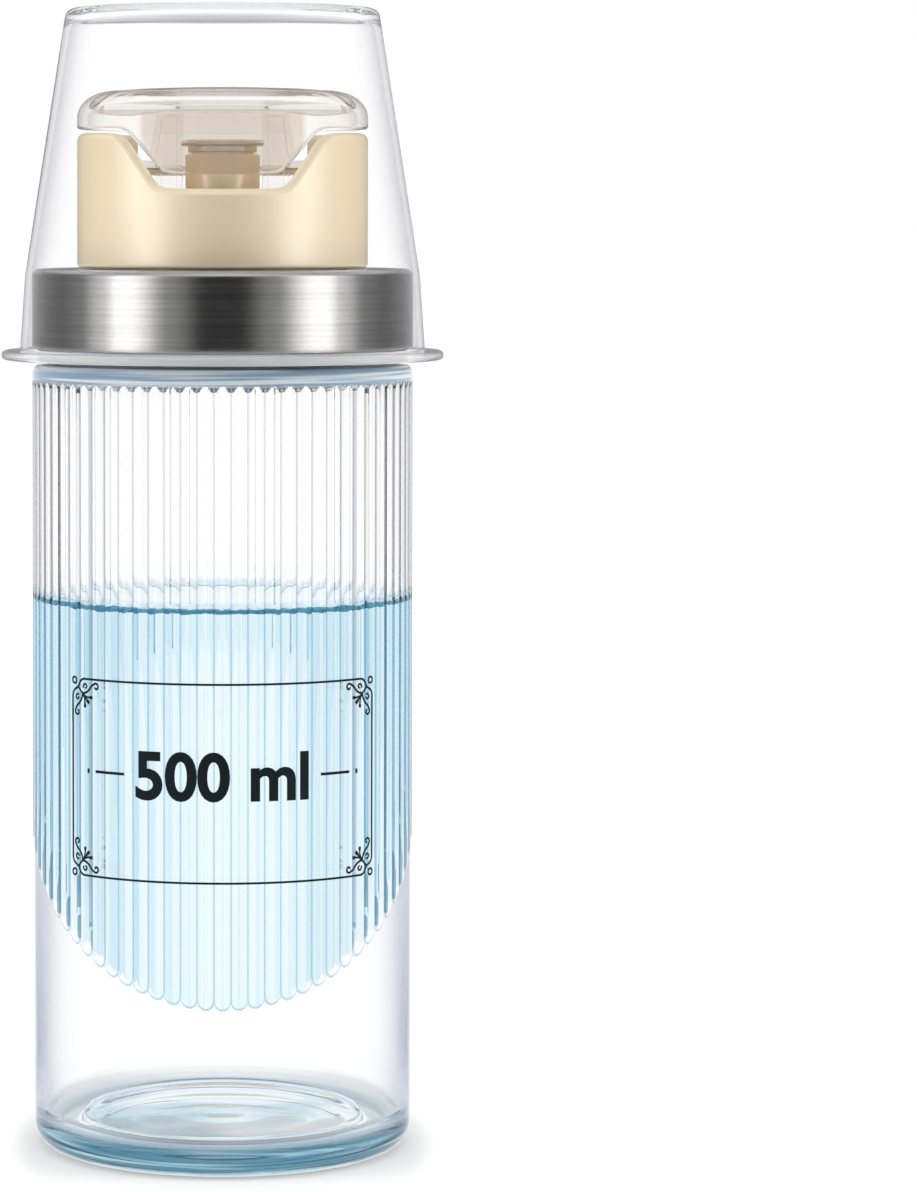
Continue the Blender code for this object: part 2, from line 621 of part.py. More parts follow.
def make_insert(material, pivot):
    """Cup-shaped insert with the small pour hole, low in the nozzle."""
    outer = NOZZLE_BORE - SEAT_GAP
    wall = outer - INSERT_WALL
    low = NOZZLE_BOTTOM
    floor = low + INSERT_FLOOR
    top = low + INSERT_HEIGHT
    outline = [(INSERT_HOLE_RADIUS, low), (outer, low), (outer, top), (wall, top), (wall, floor),
               (INSERT_HOLE_RADIUS, floor)]
    spout_piece("pour_insert", outline, material, pivot)


def lug(side):
    """Wedge under the lid's top, from the skirt towards the centre."""
    root = LID_INNER + EMBED
    top = LID_UNDER + EMBED
    outline = [(side * root, top), (side * root, LID_UNDER - LUG_HEIGHT),
               (side * (LID_INNER - LUG_LENGTH), top)]
    return prism(outline, -LUG_WIDTH / 2, LUG_WIDTH / 2, "Y")


def make_lid(material, pivot):
    """Smoky lid: crown, skirt, front tongue in the notch and two inner lugs."""
    outline = rounded([(0, LID_UNDER, 0), (LID_INNER, LID_UNDER, LID_INNER_FILLET),
                       (LID_INNER, TONGUE_BOTTOM, 0), (HOUSING_RADIUS, TONGUE_BOTTOM, 0),
                       (HOUSING_RADIUS, LID_CROWN, LID_FILLET), (0, LID_CROWN, 0)])
    lid = add_object("flip_lid", turned(outline, WIDE_STEPS), material, pivot)
    reach = HOUSING_RADIUS + OVERRUN
    waste = block((-reach, -reach, TONGUE_BOTTOM - OVERRUN), (reach, reach, LID_BOTTOM))
    waste_tool = combine(lid, "skirt_waste", waste, "DIFFERENCE")
    keep = notch_outline(TONGUE_SIDE_GAP, TONGUE_BOTTOM, LID_BOTTOM, TONGUE_FILLET)
    kept = prism(keep, -reach - OVERRUN, SPOUT_Y, "Y")
    combine(waste_tool, "tongue_keep", kept, "DIFFERENCE")
    for name, side in (("left_lug", -1), ("right_lug", 1)):
        combine(lid, name, lug(side), "UNION")


def make_bracket(material, pivot):
    """Plate and two box legs under the lid, with pockets in front and the pin's bore."""
    plate_under = BRACKET_TOP - BRACKET_PLATE
    corners = [(-PLATE_HALF, BRACKET_TOP, 0), (-PLATE_HALF, plate_under, 0),
               (-LEG_OUTER, plate_under, 0), (-LEG_OUTER, LEG_BOTTOM, LEG_END_FILLET),
               (-LEG_INNER, LEG_BOTTOM, LEG_END_FILLET), (-LEG_INNER, plate_under, 0)]
    mirrored = [(-u, v, radius) for u, v, radius in reversed(corners)]
    near = LEG_BACK - LEG_DEPTH
    bm = prism(rounded(corners + mirrored), near, LEG_BACK, "Y")
    bracket = add_object("lid_bracket", bm, material, pivot)
    pocket_inner = LEG_INNER + LEG_POCKET_WALL
    pocket_outer = LEG_OUTER - LEG_POCKET_WALL
    pocket_back = PIVOT_Y - PIN_RADIUS - PIN_CLEARANCE - LEG_POCKET_WEB
    for name, side in (("left_pocket", -1), ("right_pocket", 1)):
        edges = sorted((side * pocket_inner, side * pocket_outer))
        pocket = block((edges[0], near - OVERRUN, LEG_BOTTOM + LEG_POCKET_WALL),
                       (edges[1], pocket_back, plate_under - LEG_POCKET_WALL))
        combine(bracket, name, pocket, "DIFFERENCE")
    bore = rod(PIN_RADIUS + PIN_CLEARANCE, -PLATE_HALF, PLATE_HALF, PIVOT_Y, PIVOT_Z)
    combine(bracket, "leg_bore", bore, "DIFFERENCE")


def make_hinge_pin(material, pivot):
    """Steel pin through ears, legs and weight frame, with a cap on each end."""
    pin = rod(PIN_RADIUS, -PIN_HALF_LENGTH, PIN_HALF_LENGTH, PIVOT_Y, PIVOT_Z)
    add_object("hinge_pin", pin, material, pivot)


def make_pin_caps(material, pivot):
    """Round caps that hold the hinge pin's ends."""
    bore = PIN_RADIUS + PIN_CLEARANCE
    for name, side in (("pin_cap_left", -1), ("pin_cap_right", 1)):
        ends = sorted((side * PIN_CAP_INNER, side * PIN_HALF_LENGTH))
        bm = ring_on_rod(PIN_CAP_RADIUS, bore, ends[0], ends[1], PIVOT_Y, PIVOT_Z)
        add_object(name, bm, material, pivot)


def make_frame(material, pivot):
    """Rectangular frame that hangs on the hinge pin, forked at its lower end."""
    near = PIVOT_Y - FRAME_BAR_DEPTH / 2
    far = PIVOT_Y + FRAME_BAR_DEPTH / 2
    side = FRAME_HALF_WIDTH - FRAME_BOSS_PROUD
    bars = block((-side, near, ROLLER_PIN_Z), (side, far, PIVOT_Z))
    frame = add_object("weight_frame", bars, material, pivot)
    sleeve = rod(FRAME_SLEEVE_RADIUS, -FRAME_HALF_WIDTH, FRAME_HALF_WIDTH, PIVOT_Y, PIVOT_Z)
    combine(frame, "frame_sleeve", sleeve, "UNION")
    eye = rod(FRAME_EYE_RADIUS, -FRAME_HALF_WIDTH, FRAME_HALF_WIDTH, PIVOT_Y, ROLLER_PIN_Z)
    combine(frame, "frame_eye", eye, "UNION")
    fork_top = ROLLER_PIN_Z + FRAME_FORK
    fork = block((-FORK_HALF, near - OVERRUN, ROLLER_PIN_Z - OVERRUN),
                 (FORK_HALF, far + OVERRUN, fork_top))
    combine(frame, "frame_fork", fork, "DIFFERENCE")
    window = block((-FORK_HALF, near - OVERRUN, fork_top + FRAME_CROSSBAR),
                   (FORK_HALF, far + OVERRUN, PIVOT_Z - FRAME_SLEEVE_RADIUS - FRAME_WEB))
    combine(frame, "frame_window", window, "DIFFERENCE")
    for name, radius, z in (("frame_bore", PIN_RADIUS, PIVOT_Z),
                            ("frame_eye_bore", ROLLER_PIN_RADIUS, ROLLER_PIN_Z)):
        bore = rod(radius + PIN_CLEARANCE, -LEG_INNER, LEG_INNER, PIVOT_Y, z)
        combine(frame, name, bore, "DIFFERENCE")


def make_roller_pin(material, pivot):
    """Cross pin at the frame's lower end."""
    pin = rod(ROLLER_PIN_RADIUS, -ROLLER_PIN_HALF, ROLLER_PIN_HALF, PIVOT_Y, ROLLER_PIN_Z)
    add_object("roller_pin", pin, material, pivot)


def make_rollers(material, pivot):
    """Two rollers outside the frame, on the cross pin."""
    bore = ROLLER_PIN_RADIUS + PIN_CLEARANCE
    for name, side in (("roller_left", -1), ("roller_right", 1)):
        ends = sorted((side * ROLLER_INNER, side * ROLLER_OUTER))
        bm = ring_on_rod(ROLLER_RADIUS, bore, ends[0], ends[1], PIVOT_Y, ROLLER_PIN_Z)
        add_object(name, bm, material, pivot)


def make_counterweight(material, pivot):
    """Pointed weight round the cross pin, between the fork's bars."""
    hub_half = FORK_HALF - SEAT_GAP
    head_half = hub_half + WEIGHT_OVERHANG
    hub_top = ROLLER_PIN_Z + WEIGHT_HUB
    shoulder = ROLLER_PIN_Z - WEIGHT_SHOULDER
    edge = shoulder - WEIGHT_EDGE
    point = ROLLER_PIN_Z - WEIGHT_LENGTH
    outline = [(-hub_half, hub_top), (-hub_half, shoulder), (-head_half, shoulder), (-head_half, edge),
               (0, point), (head_half, edge), (head_half, shoulder), (hub_half, shoulder),
               (hub_half, hub_top)]
    near = PIVOT_Y - WEIGHT_DEPTH / 2
    far = PIVOT_Y + WEIGHT_DEPTH / 2
    weight = add_object("counterweight", prism(outline, near, far, "Y"), material, pivot)
    bore = rod(ROLLER_PIN_RADIUS + PIN_CLEARANCE, -LEG_INNER, LEG_INNER, PIVOT_Y, ROLLER_PIN_Z)
    combine(weight, "weight_bore", bore, "DIFFERENCE")


def make_cup(material, pivot):
    """Clear tapered cup, upside down, with a flange round its mouth."""
    flange_top = CUP_RIM + CUP_FLANGE_THICKNESS
    foot_radius = CUP_SEAT_RADIUS + CUP_FLARE
    flange_radius = foot_radius + CUP_FLANGE_WIDTH
    under = CUP_CEILING - CUP_TOP
    inner_fillet = CUP_FILLET - CUP_WALL
    outline = rounded([(0, under, 0), (CUP_TOP_RADIUS - CUP_WALL, under, inner_fillet),
                       (CUP_SEAT_RADIUS - CUP_WALL, CUP_SEAT_Z, 0), (foot_radius - CUP_WALL, CUP_RIM, 0),
                       (flange_radius, CUP_RIM, CUP_FLANGE_FILLET),
                       (flange_radius, flange_top, CUP_FLANGE_FILLET), (foot_radius, flange_top, 0),
                       (CUP_SEAT_RADIUS, CUP_SEAT_Z, 0), (CUP_TOP_RADIUS, CUP_CEILING, CUP_FILLET),
                       (0, CUP_CEILING, 0)])
    add_object("measuring_cup", turned(outline, WIDE_STEPS), material, pivot)


def build():
    """Make every piece on the empty of its moving group."""
    clear_scene()
    glass = finish("clear_glass", (0.78, 0.88, 0.93), 0.05, 0, 0.35)
    silicone = finish("clear_silicone", (0.9, 0.9, 0.88), 0.5, 0, 0.7)
    liner = finish("white_liner", (0.85, 0.85, 0.83), 0.6, 0, 1)
    cream = finish("cream_plastic", (0.91, 0.81, 0.62), 0.4, 0, 1)
    steel = finish("brushed_steel", (0.6, 0.6, 0.61), 0.3, 1, 1)
    smoke = finish("smoky_plastic", (0.62, 0.55, 0.5), 0.12, 0, 0.5)
    clear = finish("clear_plastic", (0.93, 0.94, 0.96), 0.08, 0, 0.25)

    stand = add_pivot("bottle_centre", (0, 0, 0))
    make_bottle(glass, stand)
    make_gasket(silicone, stand)

    make_neck_seal(liner, add_pivot("seal_axis", (0, 0, SEAL_BOTTOM)))

    cap_axis = add_pivot("cap_axis", (0, 0, CAP_BOTTOM))
    make_inner_cap(cream, cap_axis)
    make_band(steel, cap_axis)
    make_housing(cream, cap_axis)
    make_nozzle(cream, cap_axis)
    make_nozzle_seal(silicone, cap_axis)
    make_tip(steel, cap_axis)
    make_insert(cream, cap_axis)
    make_hinge_pin(steel, cap_axis)
    make_pin_caps(smoke, cap_axis)

    lid_axis = add_pivot("lid_axis", (0, PIVOT_Y, PIVOT_Z))
    make_lid(smoke, lid_axis)
    make_bracket(smoke, lid_axis)

    weight_axis = add_pivot("weight_axis", (0, PIVOT_Y, PIVOT_Z))
    make_frame(smoke, weight_axis)
    make_roller_pin(steel, weight_axis)
    make_counterweight(smoke, weight_axis)

    make_rollers(smoke, add_pivot("roller_axis", (0, PIVOT_Y, ROLLER_PIN_Z)))

    make_cup(clear, add_pivot("cup_axis", (0, 0, CUP_RIM)))


build()
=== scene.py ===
"""Looks of the mouthwash dispenser: fine glass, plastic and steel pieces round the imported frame.

Metres, +Z up, pour notch towards -Y, as in the frame. Heights and radii repeat the construction's.
"""
import math
from types import SimpleNamespace

import bmesh
import bpy
from mathutils import Matrix, Vector


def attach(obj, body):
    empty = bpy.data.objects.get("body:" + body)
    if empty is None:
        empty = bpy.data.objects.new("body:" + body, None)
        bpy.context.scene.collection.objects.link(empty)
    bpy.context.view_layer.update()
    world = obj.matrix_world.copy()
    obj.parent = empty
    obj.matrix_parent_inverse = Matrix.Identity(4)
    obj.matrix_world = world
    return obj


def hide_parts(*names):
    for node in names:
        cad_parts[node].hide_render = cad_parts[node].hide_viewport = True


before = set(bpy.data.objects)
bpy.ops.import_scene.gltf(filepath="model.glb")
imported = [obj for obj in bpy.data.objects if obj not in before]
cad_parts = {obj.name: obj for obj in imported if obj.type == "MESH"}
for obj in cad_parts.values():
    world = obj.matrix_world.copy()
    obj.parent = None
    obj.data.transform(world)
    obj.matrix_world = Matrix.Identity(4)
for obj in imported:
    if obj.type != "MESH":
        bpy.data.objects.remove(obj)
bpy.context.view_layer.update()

MM = 0.001
TURN = math.tau
FRONT = -TURN / 4

# Bottle
BODY_R, VALLEY_R, SMOOTH_R, INNER_R = 37.5 * MM, 36.8 * MM, 37.15 * MM, 34.2 * MM
NECK_R, NECK_BORE = 26 * MM, 22.5 * MM
RIBS, RIB_COLUMNS = 72, 8
RIB_MIDDLE_Z, RIB_SWING_Z = 63.6 * MM, 31.1 * MM
# Below this height, rows of the flat outline belong to the reeds' ends and are tilted with them
TILTED_ROWS_Z = 98 * MM
RIB_TOP_Z, SHOULDER_Z, NECK_FOOT_Z, NECK_TOP_Z = 151.3 * MM, 154.3 * MM, 155.2 * MM, 167 * MM
# How far the round ends and the scalloped tops reach along a reed
REED_TIP, REED_TOP = 1.7 * MM, 0.6 * MM
THREAD_PITCH, THREAD_START_Z, THREAD_RISE, THREAD_TURNS = 4 * MM, 158.8 * MM, 1.9 * MM, 1.5
FLOOR_Z, PUNT_R, FILL_Z = 5.1 * MM, 27 * MM, 108.6 * MM
# Radius and lift in mm of the rings that pressing leaves in the floor
FLOOR_RIPPLES = [(26.4, 0.1), (25.9, 0.42), (25, 0.55), (23.8, 0.46), (21, 0.3), (18.5, 0.34), (16.5, 0.42),
                 (14, 0.36), (10.5, 0.26), (7.5, 0.3), (5.5, 0.42), (4, 0.36), (0, 0.34)]

# Cap, lid and cup
BAND_LOW_Z, BAND_TOP_Z = 157.2 * MM, 173 * MM
HOUSING_R, HOUSING_INNER_R = 28.6 * MM, 25.6 * MM
HOUSING_LOW_Z, HOUSING_TOP_Z, DECK_Z = 173.3 * MM, 199.6 * MM, 174.8 * MM
NOTCH_FLOOR_HALF, NOTCH_TOP_HALF, NOTCH_FLOOR_Z = 13 * MM, 20.5 * MM, 188.6 * MM
LID_SLOT_HALF, LID_SLOT_Z = 18.9 * MM, 178 * MM
SPOUT_Y = -12 * MM
LID_LOW_Z, LID_UNDER_Z, LID_CROWN_Z, TONGUE_Z = 200.4 * MM, 206.3 * MM, 208.5 * MM, 191.3 * MM
CUP_RIM_Z, CUP_FLANGE_Z, CUP_TOP_Z = 155.2 * MM, 157 * MM, 224 * MM

# Studio
AMBIENT = 0.6
# A little over white, for what the glass in front of it takes away
BRIGHT_WHITE = 1.08
# Brightness of the room by degrees, from straight behind the object to the camera's side
MIRROR_ROOM = [(0, 0.3), (28, 0.22), (68, 0.16), (86, 0.3), (104, 1.1), (115, 2.35), (122, 2.35),
               (148, 0.4), (170, 0.004)]
GLASS_ROOM = [(0, 1.08), (48, 1.04), (68, (0.82, 0.83, 0.86)), (88, (0.66, 0.68, 0.72)),
              (108, (0.62, 0.64, 0.68)), (128, 0.88), (180, 1)]
FLOOR_WHITE, FLOOR_LIFT = 0.82, 0.18
FLOOR_SHADOW_FROM, FLOOR_SHADOW_TO = 37 * MM, 45 * MM

# Node settings: a share eased from 0 at one value to 1 at another, colours mixed, sums held from 0 to 1
EASED = {"interpolation_type": "SMOOTHSTEP"}
COLOURS = {"data_type": "RGBA"}
HELD_DIFFERENCE = {"operation": "SUBTRACT", "use_clamp": True}
HELD_SUM = {"operation": "MULTIPLY_ADD", "use_clamp": True}


# Nodes and shares
def linear(colour):
    """Linear RGBA of an sRGB hex colour."""
    channels = [int(colour[at:at + 2], 16) / 255 for at in (1, 3, 5)]
    return [c / 12.92 if c <= 0.04045 else ((c + 0.055) / 1.055) ** 2.4 for c in channels] + [1]


def plug(tree, source, socket):
    """Node, socket or plain value into a socket; a node gives its first output that is in use."""
    if isinstance(source, bpy.types.Node):
        source = next(output for output in source.outputs if output.enabled)
    if isinstance(source, bpy.types.NodeSocket):
        tree.links.new(source, socket)
    else:
        socket.default_value = source


def add_node(tree, kind, settings=None, *given, **named):
    """Node with its settings, or its operation alone, and what goes into its inputs by order or by name."""
    node = tree.nodes.new("ShaderNode" + kind)
    if isinstance(settings, str):
        settings = {"operation": settings}
    for key, value in (settings or {}).items():
        setattr(node, key, value)
    in_use = [socket for socket in node.inputs if socket.enabled]
    for socket, source in zip(in_use, given):
        plug(tree, source, socket)
    for name, source in named.items():
        plug(tree, source, node.inputs[name.replace("_", " ")])
    return node


def give_shader(tree, **sources):
    """Nodes or values for the sockets of a material's Principled shader."""
    for name, source in sources.items():
        plug(tree, source, tree.nodes["Principled BSDF"].inputs[name.replace("_", " ")])


def new_material(name, **values):
    """Material with a Principled shader and its plain values; returned with its tree."""
    material = bpy.data.materials.new(name)
    material.use_nodes = True
    give_shader(material.node_tree, **values)
    return material, material.node_tree


def object_xyz(tree):
    """Sockets of a point's x, y and z on the object."""
    place = add_node(tree, "TexCoord")
    return add_node(tree, "SeparateXYZ", None, place.outputs["Object"]).outputs


def axis_distance(tree, x, y):
    """Distance from the bottle's axis."""
    squares = [add_node(tree, "Math", "POWER", side, 2) for side in (x, y)]
    return add_node(tree, "Math", "SQRT", add_node(tree, "Math", "ADD", *squares))


def grain(tree, x_mm, y_mm, z_mm, detail=2):
    """Uneven pattern on the object, its patches about so many millimetres along x, y and z."""
    place = add_node(tree, "TexCoord")
    scale = [1 / (size * MM) for size in (x_mm, y_mm, z_mm)]
    sized = add_node(tree, "Mapping", None, place.outputs["Object"], Scale=scale)
    return add_node(tree, "TexNoise", None, sized, Scale=1, Detail=detail)


def cover_surface(tree, share, shader):
    """Another shader over the surface's own, by a share."""
    surface = tree.nodes["Material Output"].inputs["Surface"]
    plug(tree, add_node(tree, "MixShader", None, share, surface.links[0].from_socket, shader), surface)


def let_lamps_through(tree, colour):
    """Shadow rays pass the glass, so lamps light what it holds."""
    path = add_node(tree, "LightPath")
    clear = add_node(tree, "BsdfTransparent", Color=linear(colour))
    cover_surface(tree, path.outputs["Is Shadow Ray"], clear)


def glow_for_trapped_light(tree, colour, turns):
    """Painted light: a ray still caught between the wall's two faces after some turns ends in a pale glow,
    an emission, where it would go dark.
    """
    path = add_node(tree, "LightPath")
    caught = add_node(tree, "Math", "GREATER_THAN", path.outputs["Ray Depth"], turns)
    cover_surface(tree, caught, add_node(tree, "Emission", Color=linear(colour)))


def absorb(tree, colour, density):
    """Tint that deepens with the length of the way through the material."""
    volume = add_node(tree, "VolumeAbsorption", Color=linear(colour), Density=density)
    plug(tree, volume, tree.nodes["Material Output"].inputs["Volume"])


# Glass and liquid
def reed_places(tree, skin_radius):
    """Where a point lies among the reeds.

    across is 0 on a crest and 1 in a valley, above counts from the reeds' lower ends and below from their
    tops, slant is 1 where the round wall is looked along, and side is 1 at the left and right.
    """
    x, y, z = object_xyz(tree)
    turn = add_node(tree, "Math", "MULTIPLY", add_node(tree, "Math", "ARCTAN2", x, y), RIBS / TURN)
    across = add_node(tree, "Math", "MULTIPLY", add_node(tree, "Math", "PINGPONG", turn, 0.5), 2)
    fall = add_node(tree, "Math", HELD_DIFFERENCE, 1, add_node(tree, "Math", "POWER", across, 2))
    rise = add_node(tree, "Math", "SUBTRACT", 1, add_node(tree, "Math", "SQRT", fall))
    tip = add_node(tree, "Math", "MULTIPLY_ADD", rise, REED_TIP, RIB_MIDDLE_Z)
    ends = add_node(tree, "Math", "MULTIPLY_ADD", y, RIB_SWING_Z / skin_radius, tip)
    tops = add_node(tree, "Math", "MULTIPLY_ADD", rise, -REED_TOP, RIB_TOP_Z)
    outwards = add_node(tree, "VectorTransform", {
        "vector_type": "NORMAL", "convert_from": "OBJECT", "convert_to": "WORLD"},
        add_node(tree, "CombineXYZ", None, x, y))
    round_wall = add_node(tree, "LayerWeight", Blend=0.5, Normal=outwards)
    return SimpleNamespace(
        turn=turn, across=across, z=z, radius=axis_distance(tree, x, y),
        slant=round_wall.outputs["Facing"],
        side=add_node(tree, "MapRange", EASED, add_node(tree, "Math", "ABSOLUTE", x), 22 * MM, 29 * MM),
        above=add_node(tree, "Math", "SUBTRACT", z, ends),
        below=add_node(tree, "Math", "SUBTRACT", tops, z))


def reed_painted_shade(tree, at):
    """Painted shade for how the reeds bend the light: dark lines in the valleys, wider and darker where the
    wall slants, and a blue outline round each reed's end.
    """
    over_end = add_node(tree, "MapRange", EASED, at.above, 0, 0.3 * MM)
    under_top = add_node(tree, "MapRange", EASED, at.below, 0, 0.3 * MM)
    reeded = add_node(tree, "Math", "MULTIPLY", over_end, under_top)
    aside = add_node(tree, "MapRange", EASED, at.slant, 0.2, 0.6)
    widened = add_node(tree, "Math", "MULTIPLY_ADD", aside, 0.2, at.across)
    # Painted shade: a dark line down each valley, wider and darker where the wall slants
    valley = add_node(tree, "MapRange", EASED, widened, 0.84, 1)
    valley = add_node(tree, "Math", "MULTIPLY", add_node(tree, "Math", "MULTIPLY", valley, reeded), at.near)
    dry = add_node(tree, "Mix", COLOURS, aside, linear("#C4C3CA"), linear("#66656F"))
    wet = add_node(tree, "Mix", COLOURS, aside, linear("#8FBDD2"), linear("#62A0BC"))
    line = add_node(tree, "Mix", COLOURS, at.wet, dry, wet)
    # Painted shade: a blue outline round each reed's lower end
    from_end = add_node(tree, "Math", "ABSOLUTE", at.above)
    off_ring = add_node(tree, "MapRange", EASED, from_end, 0.1 * MM, 0.5 * MM)
    ring = add_node(tree, "Math", HELD_DIFFERENCE, at.near, off_ring)
    return [(valley, line), (ring, linear("#93BCD0"))]


def base_tints(tree, at):
    """Painted reflections as soft blue patches over the punt, with a clear ring round them, and a blue cast
    underneath.
    """
    # Painted reflections: soft blue patches over the punt
    patches = add_node(tree, "MapRange", EASED, grain(tree, 20.8, 16.1, 16.7, 1), 0.42, 0.58)
    punt = add_node(tree, "Mix", COLOURS, patches, linear("#8DB6C9"), linear("#E4F0F5"))
    inner = add_node(tree, "MapRange", EASED, at.radius, PUNT_R, PUNT_R - 2 * MM)
    ringed = add_node(tree, "Mix", COLOURS, inner, linear("#EDF4F8"), punt)
    floor = add_node(tree, "MapRange", EASED, at.z, FLOOR_Z + 1.3 * MM, FLOOR_Z + 0.8 * MM)
    outer = add_node(tree, "MapRange", EASED, at.radius, PUNT_R, PUNT_R + 2 * MM)
    under = add_node(tree, "MapRange", EASED, at.z, 3 * MM, 1 * MM)
    under = add_node(tree, "Math", "MULTIPLY", under, outer)
    return [(floor, ringed), (under, linear("#A8CBDA"))]


def painted_edge_shade(tree, at):
    """Painted shade where the wall is looked along, standing in for the dark edges that refraction gives:
    grey when dry, blue when wet.
    """
    grazed = add_node(tree, "LayerWeight", Blend=0.5)
    # Painted shade: darker colour where the wall is looked along, lavender-grey on the smooth foot
    edge = add_node(tree, "MapRange", EASED, grazed.outputs["Facing"], 0.46, 0.86)
    edge = add_node(tree, "Math", "MULTIPLY", at.near, edge)
    near_ends = add_node(tree, "MapRange", EASED, at.above, 15 * MM, 5 * MM)
    near_ends = add_node(tree, "Math", "MULTIPLY", at.side, near_ends)
    wet = add_node(tree, "Mix", COLOURS, near_ends, linear("#6FA3BE"), linear("#B9D9E5"))
    reeded = add_node(tree, "Mix", COLOURS, at.wet, linear("#5F5F6B"), wet)
    foot = add_node(tree, "MapRange", EASED, at.above, 0.3 * MM, -0.3 * MM)
    thick = add_node(tree, "Mix", COLOURS, foot, reeded, linear("#7C869E"))
    slanted = add_node(tree, "MapRange", EASED, at.slant, 0.3, 0.85)
    smooth = add_node(tree, "Math", "MULTIPLY", add_node(tree, "Math", "MULTIPLY", foot, at.near), slanted)
    return [(edge, thick), (smooth, linear("#8792A9"))]


def heel_and_shoulder_painted_streaks(tree, at):
    """Painted shade and highlights: dark teal in the heel, partly the thick glass's blue, with light
    streaks; grey-blue in the shoulder with painted streaks of reflection.
    """
    heel = add_node(tree, "MapRange", EASED, at.z, 8.6 * MM, 5.4 * MM)
    heel = add_node(tree, "Math", "MULTIPLY", heel, at.near)
    # Painted shade and highlights: dark teal in the heel, broken by light streaks
    heel_glint_streaks = add_node(tree, "MapRange", EASED, grain(tree, 33.3, 33.3, 1.43, 1), 0.5, 0.72)
    teal = add_node(tree, "Mix", COLOURS, heel_glint_streaks, linear("#1D506A"), linear("#74ADC4"))
    # Painted reflection: light and grey-blue streaks in the shoulder
    shoulder_glint_streaks = add_node(tree, "MapRange", EASED, grain(tree, 38.5, 38.5, 0.769, 1), 0.36, 0.6)
    grey_blue = add_node(tree, "Mix", COLOURS, shoulder_glint_streaks, linear("#8BA4B7"), linear("#DCE6ED"))
    return [(heel, teal), (at.shoulder, grey_blue)]


def pressed_soda_glass():
    """Soda-lime glass, pressed and fire-polished: clear walls, blue where it is thick, painted shade for
    its reed lines and edges, painted reflections in base, heel and shoulder.

    Its index of refraction is a little under the real 1.5, which keeps the walls light.
    """
    material, tree = new_material("pressed_soda_glass", Roughness=0, IOR=1.4, Transmission_Weight=1)
    at = reed_places(tree, BODY_R)
    leaving = add_node(tree, "NewGeometry").outputs["Backfacing"]
    outer = add_node(tree, "MapRange", EASED, at.radius, INNER_R + 1 * MM, INNER_R + 1.6 * MM)
    at.near = add_node(tree, "Math", HELD_DIFFERENCE, outer, leaving)
    at.wet = add_node(tree, "MapRange", EASED, at.z, FILL_Z + 0.5 * MM, FILL_Z - 0.5 * MM)
    at.shoulder = add_node(tree, "MapRange", EASED, at.below, 0.15 * MM, -0.15 * MM)
    colour = linear("#FFFFFF")
    for tints in (reed_painted_shade, base_tints, painted_edge_shade, heel_and_shoulder_painted_streaks):
        for share, tint in tints(tree, at):
            colour = add_node(tree, "Mix", COLOURS, share, colour, tint)
    # The shoulder band is made mostly opaque, so that it shows its painted grey-blue in the lamps' light
    # instead of the dark parts behind it
    under_cap = add_node(tree, "MapRange", EASED, at.z, NECK_FOOT_Z + 0.6 * MM, NECK_FOOT_Z)
    opaque_shoulder = add_node(tree, "Math", "MULTIPLY", at.shoulder, under_cap)
    waves = grain(tree, 16.7, 16.7, 62.5, 1)
    give_shader(tree, Base_Color=colour,
                Transmission_Weight=add_node(tree, "Math", "MULTIPLY_ADD", opaque_shoulder, -0.75, 1),
                Normal=add_node(tree, "Bump", Strength=0.02, Distance=0.4 * MM, Height=waves))
    absorb(tree, "#B4D2DC", 0.5)
    let_lamps_through(tree, "#DCDDDD")
    # Painted light: rays still caught in the glass after 26 turns end in a pale glow
    glow_for_trapped_light(tree, "#A6BDC9", 26)
    return material


def blue_rinse():
    """Water-thin blue liquid, its blue painted as the reeds before it bend the light: in stripes along
    their valleys, and left out behind the smooth foot.

    Its index of refraction is almost air's, so that reeds and print stay readable in front of it.
    """
    material, tree = new_material("blue_rinse", Roughness=0, IOR=1.02, Transmission_Weight=1)
    at = reed_places(tree, INNER_R)
    uneven = add_node(tree, "TexNoise", {"noise_dimensions": "1D"}, W=at.turn, Scale=2.7, Detail=2)
    uneven = add_node(tree, "MapRange", EASED, uneven, 0.35, 0.7)
    uneven = add_node(tree, "Math", "MULTIPLY_ADD", uneven, 0.7, -0.2)
    # Painted shade: deeper blue in stripes along the reed valleys
    stripe = add_node(tree, "MapRange", EASED, at.across, 0.3, 1)
    stripe = add_node(tree, "Math", HELD_SUM, stripe, 0.55, uneven)
    near_ends = add_node(tree, "MapRange", EASED, at.above, 14 * MM, 4 * MM)
    near_ends = add_node(tree, "Math", "MULTIPLY", at.side, near_ends)
    striped = add_node(tree, "Mix", COLOURS, near_ends, linear("#98CBE1"), linear("#DDF0F8"))
    entering = add_node(tree, "Mix", COLOURS, stripe, linear("#D2EDF8"), striped)
    leaving = add_node(tree, "NewGeometry").outputs["Backfacing"]
    depth = add_node(tree, "Mix", COLOURS, leaving, entering, linear("#EEF8FC"))
    top = add_node(tree, "MapRange", EASED, at.z, FILL_Z - 0.6 * MM, FILL_Z - 0.2 * MM)
    depth = add_node(tree, "Mix", COLOURS, top, depth, linear("#F0F8FC"))
    # The painted blue is left out below the reeds' ends, behind the smooth foot
    reeded = add_node(tree, "MapRange", EASED, at.above, -0.4 * MM, 0.4 * MM)
    give_shader(tree, Base_Color=add_node(tree, "Mix", COLOURS, reeded, linear("#FFFFFF"), depth))
    let_lamps_through(tree, "#F4F5F5")
    return material


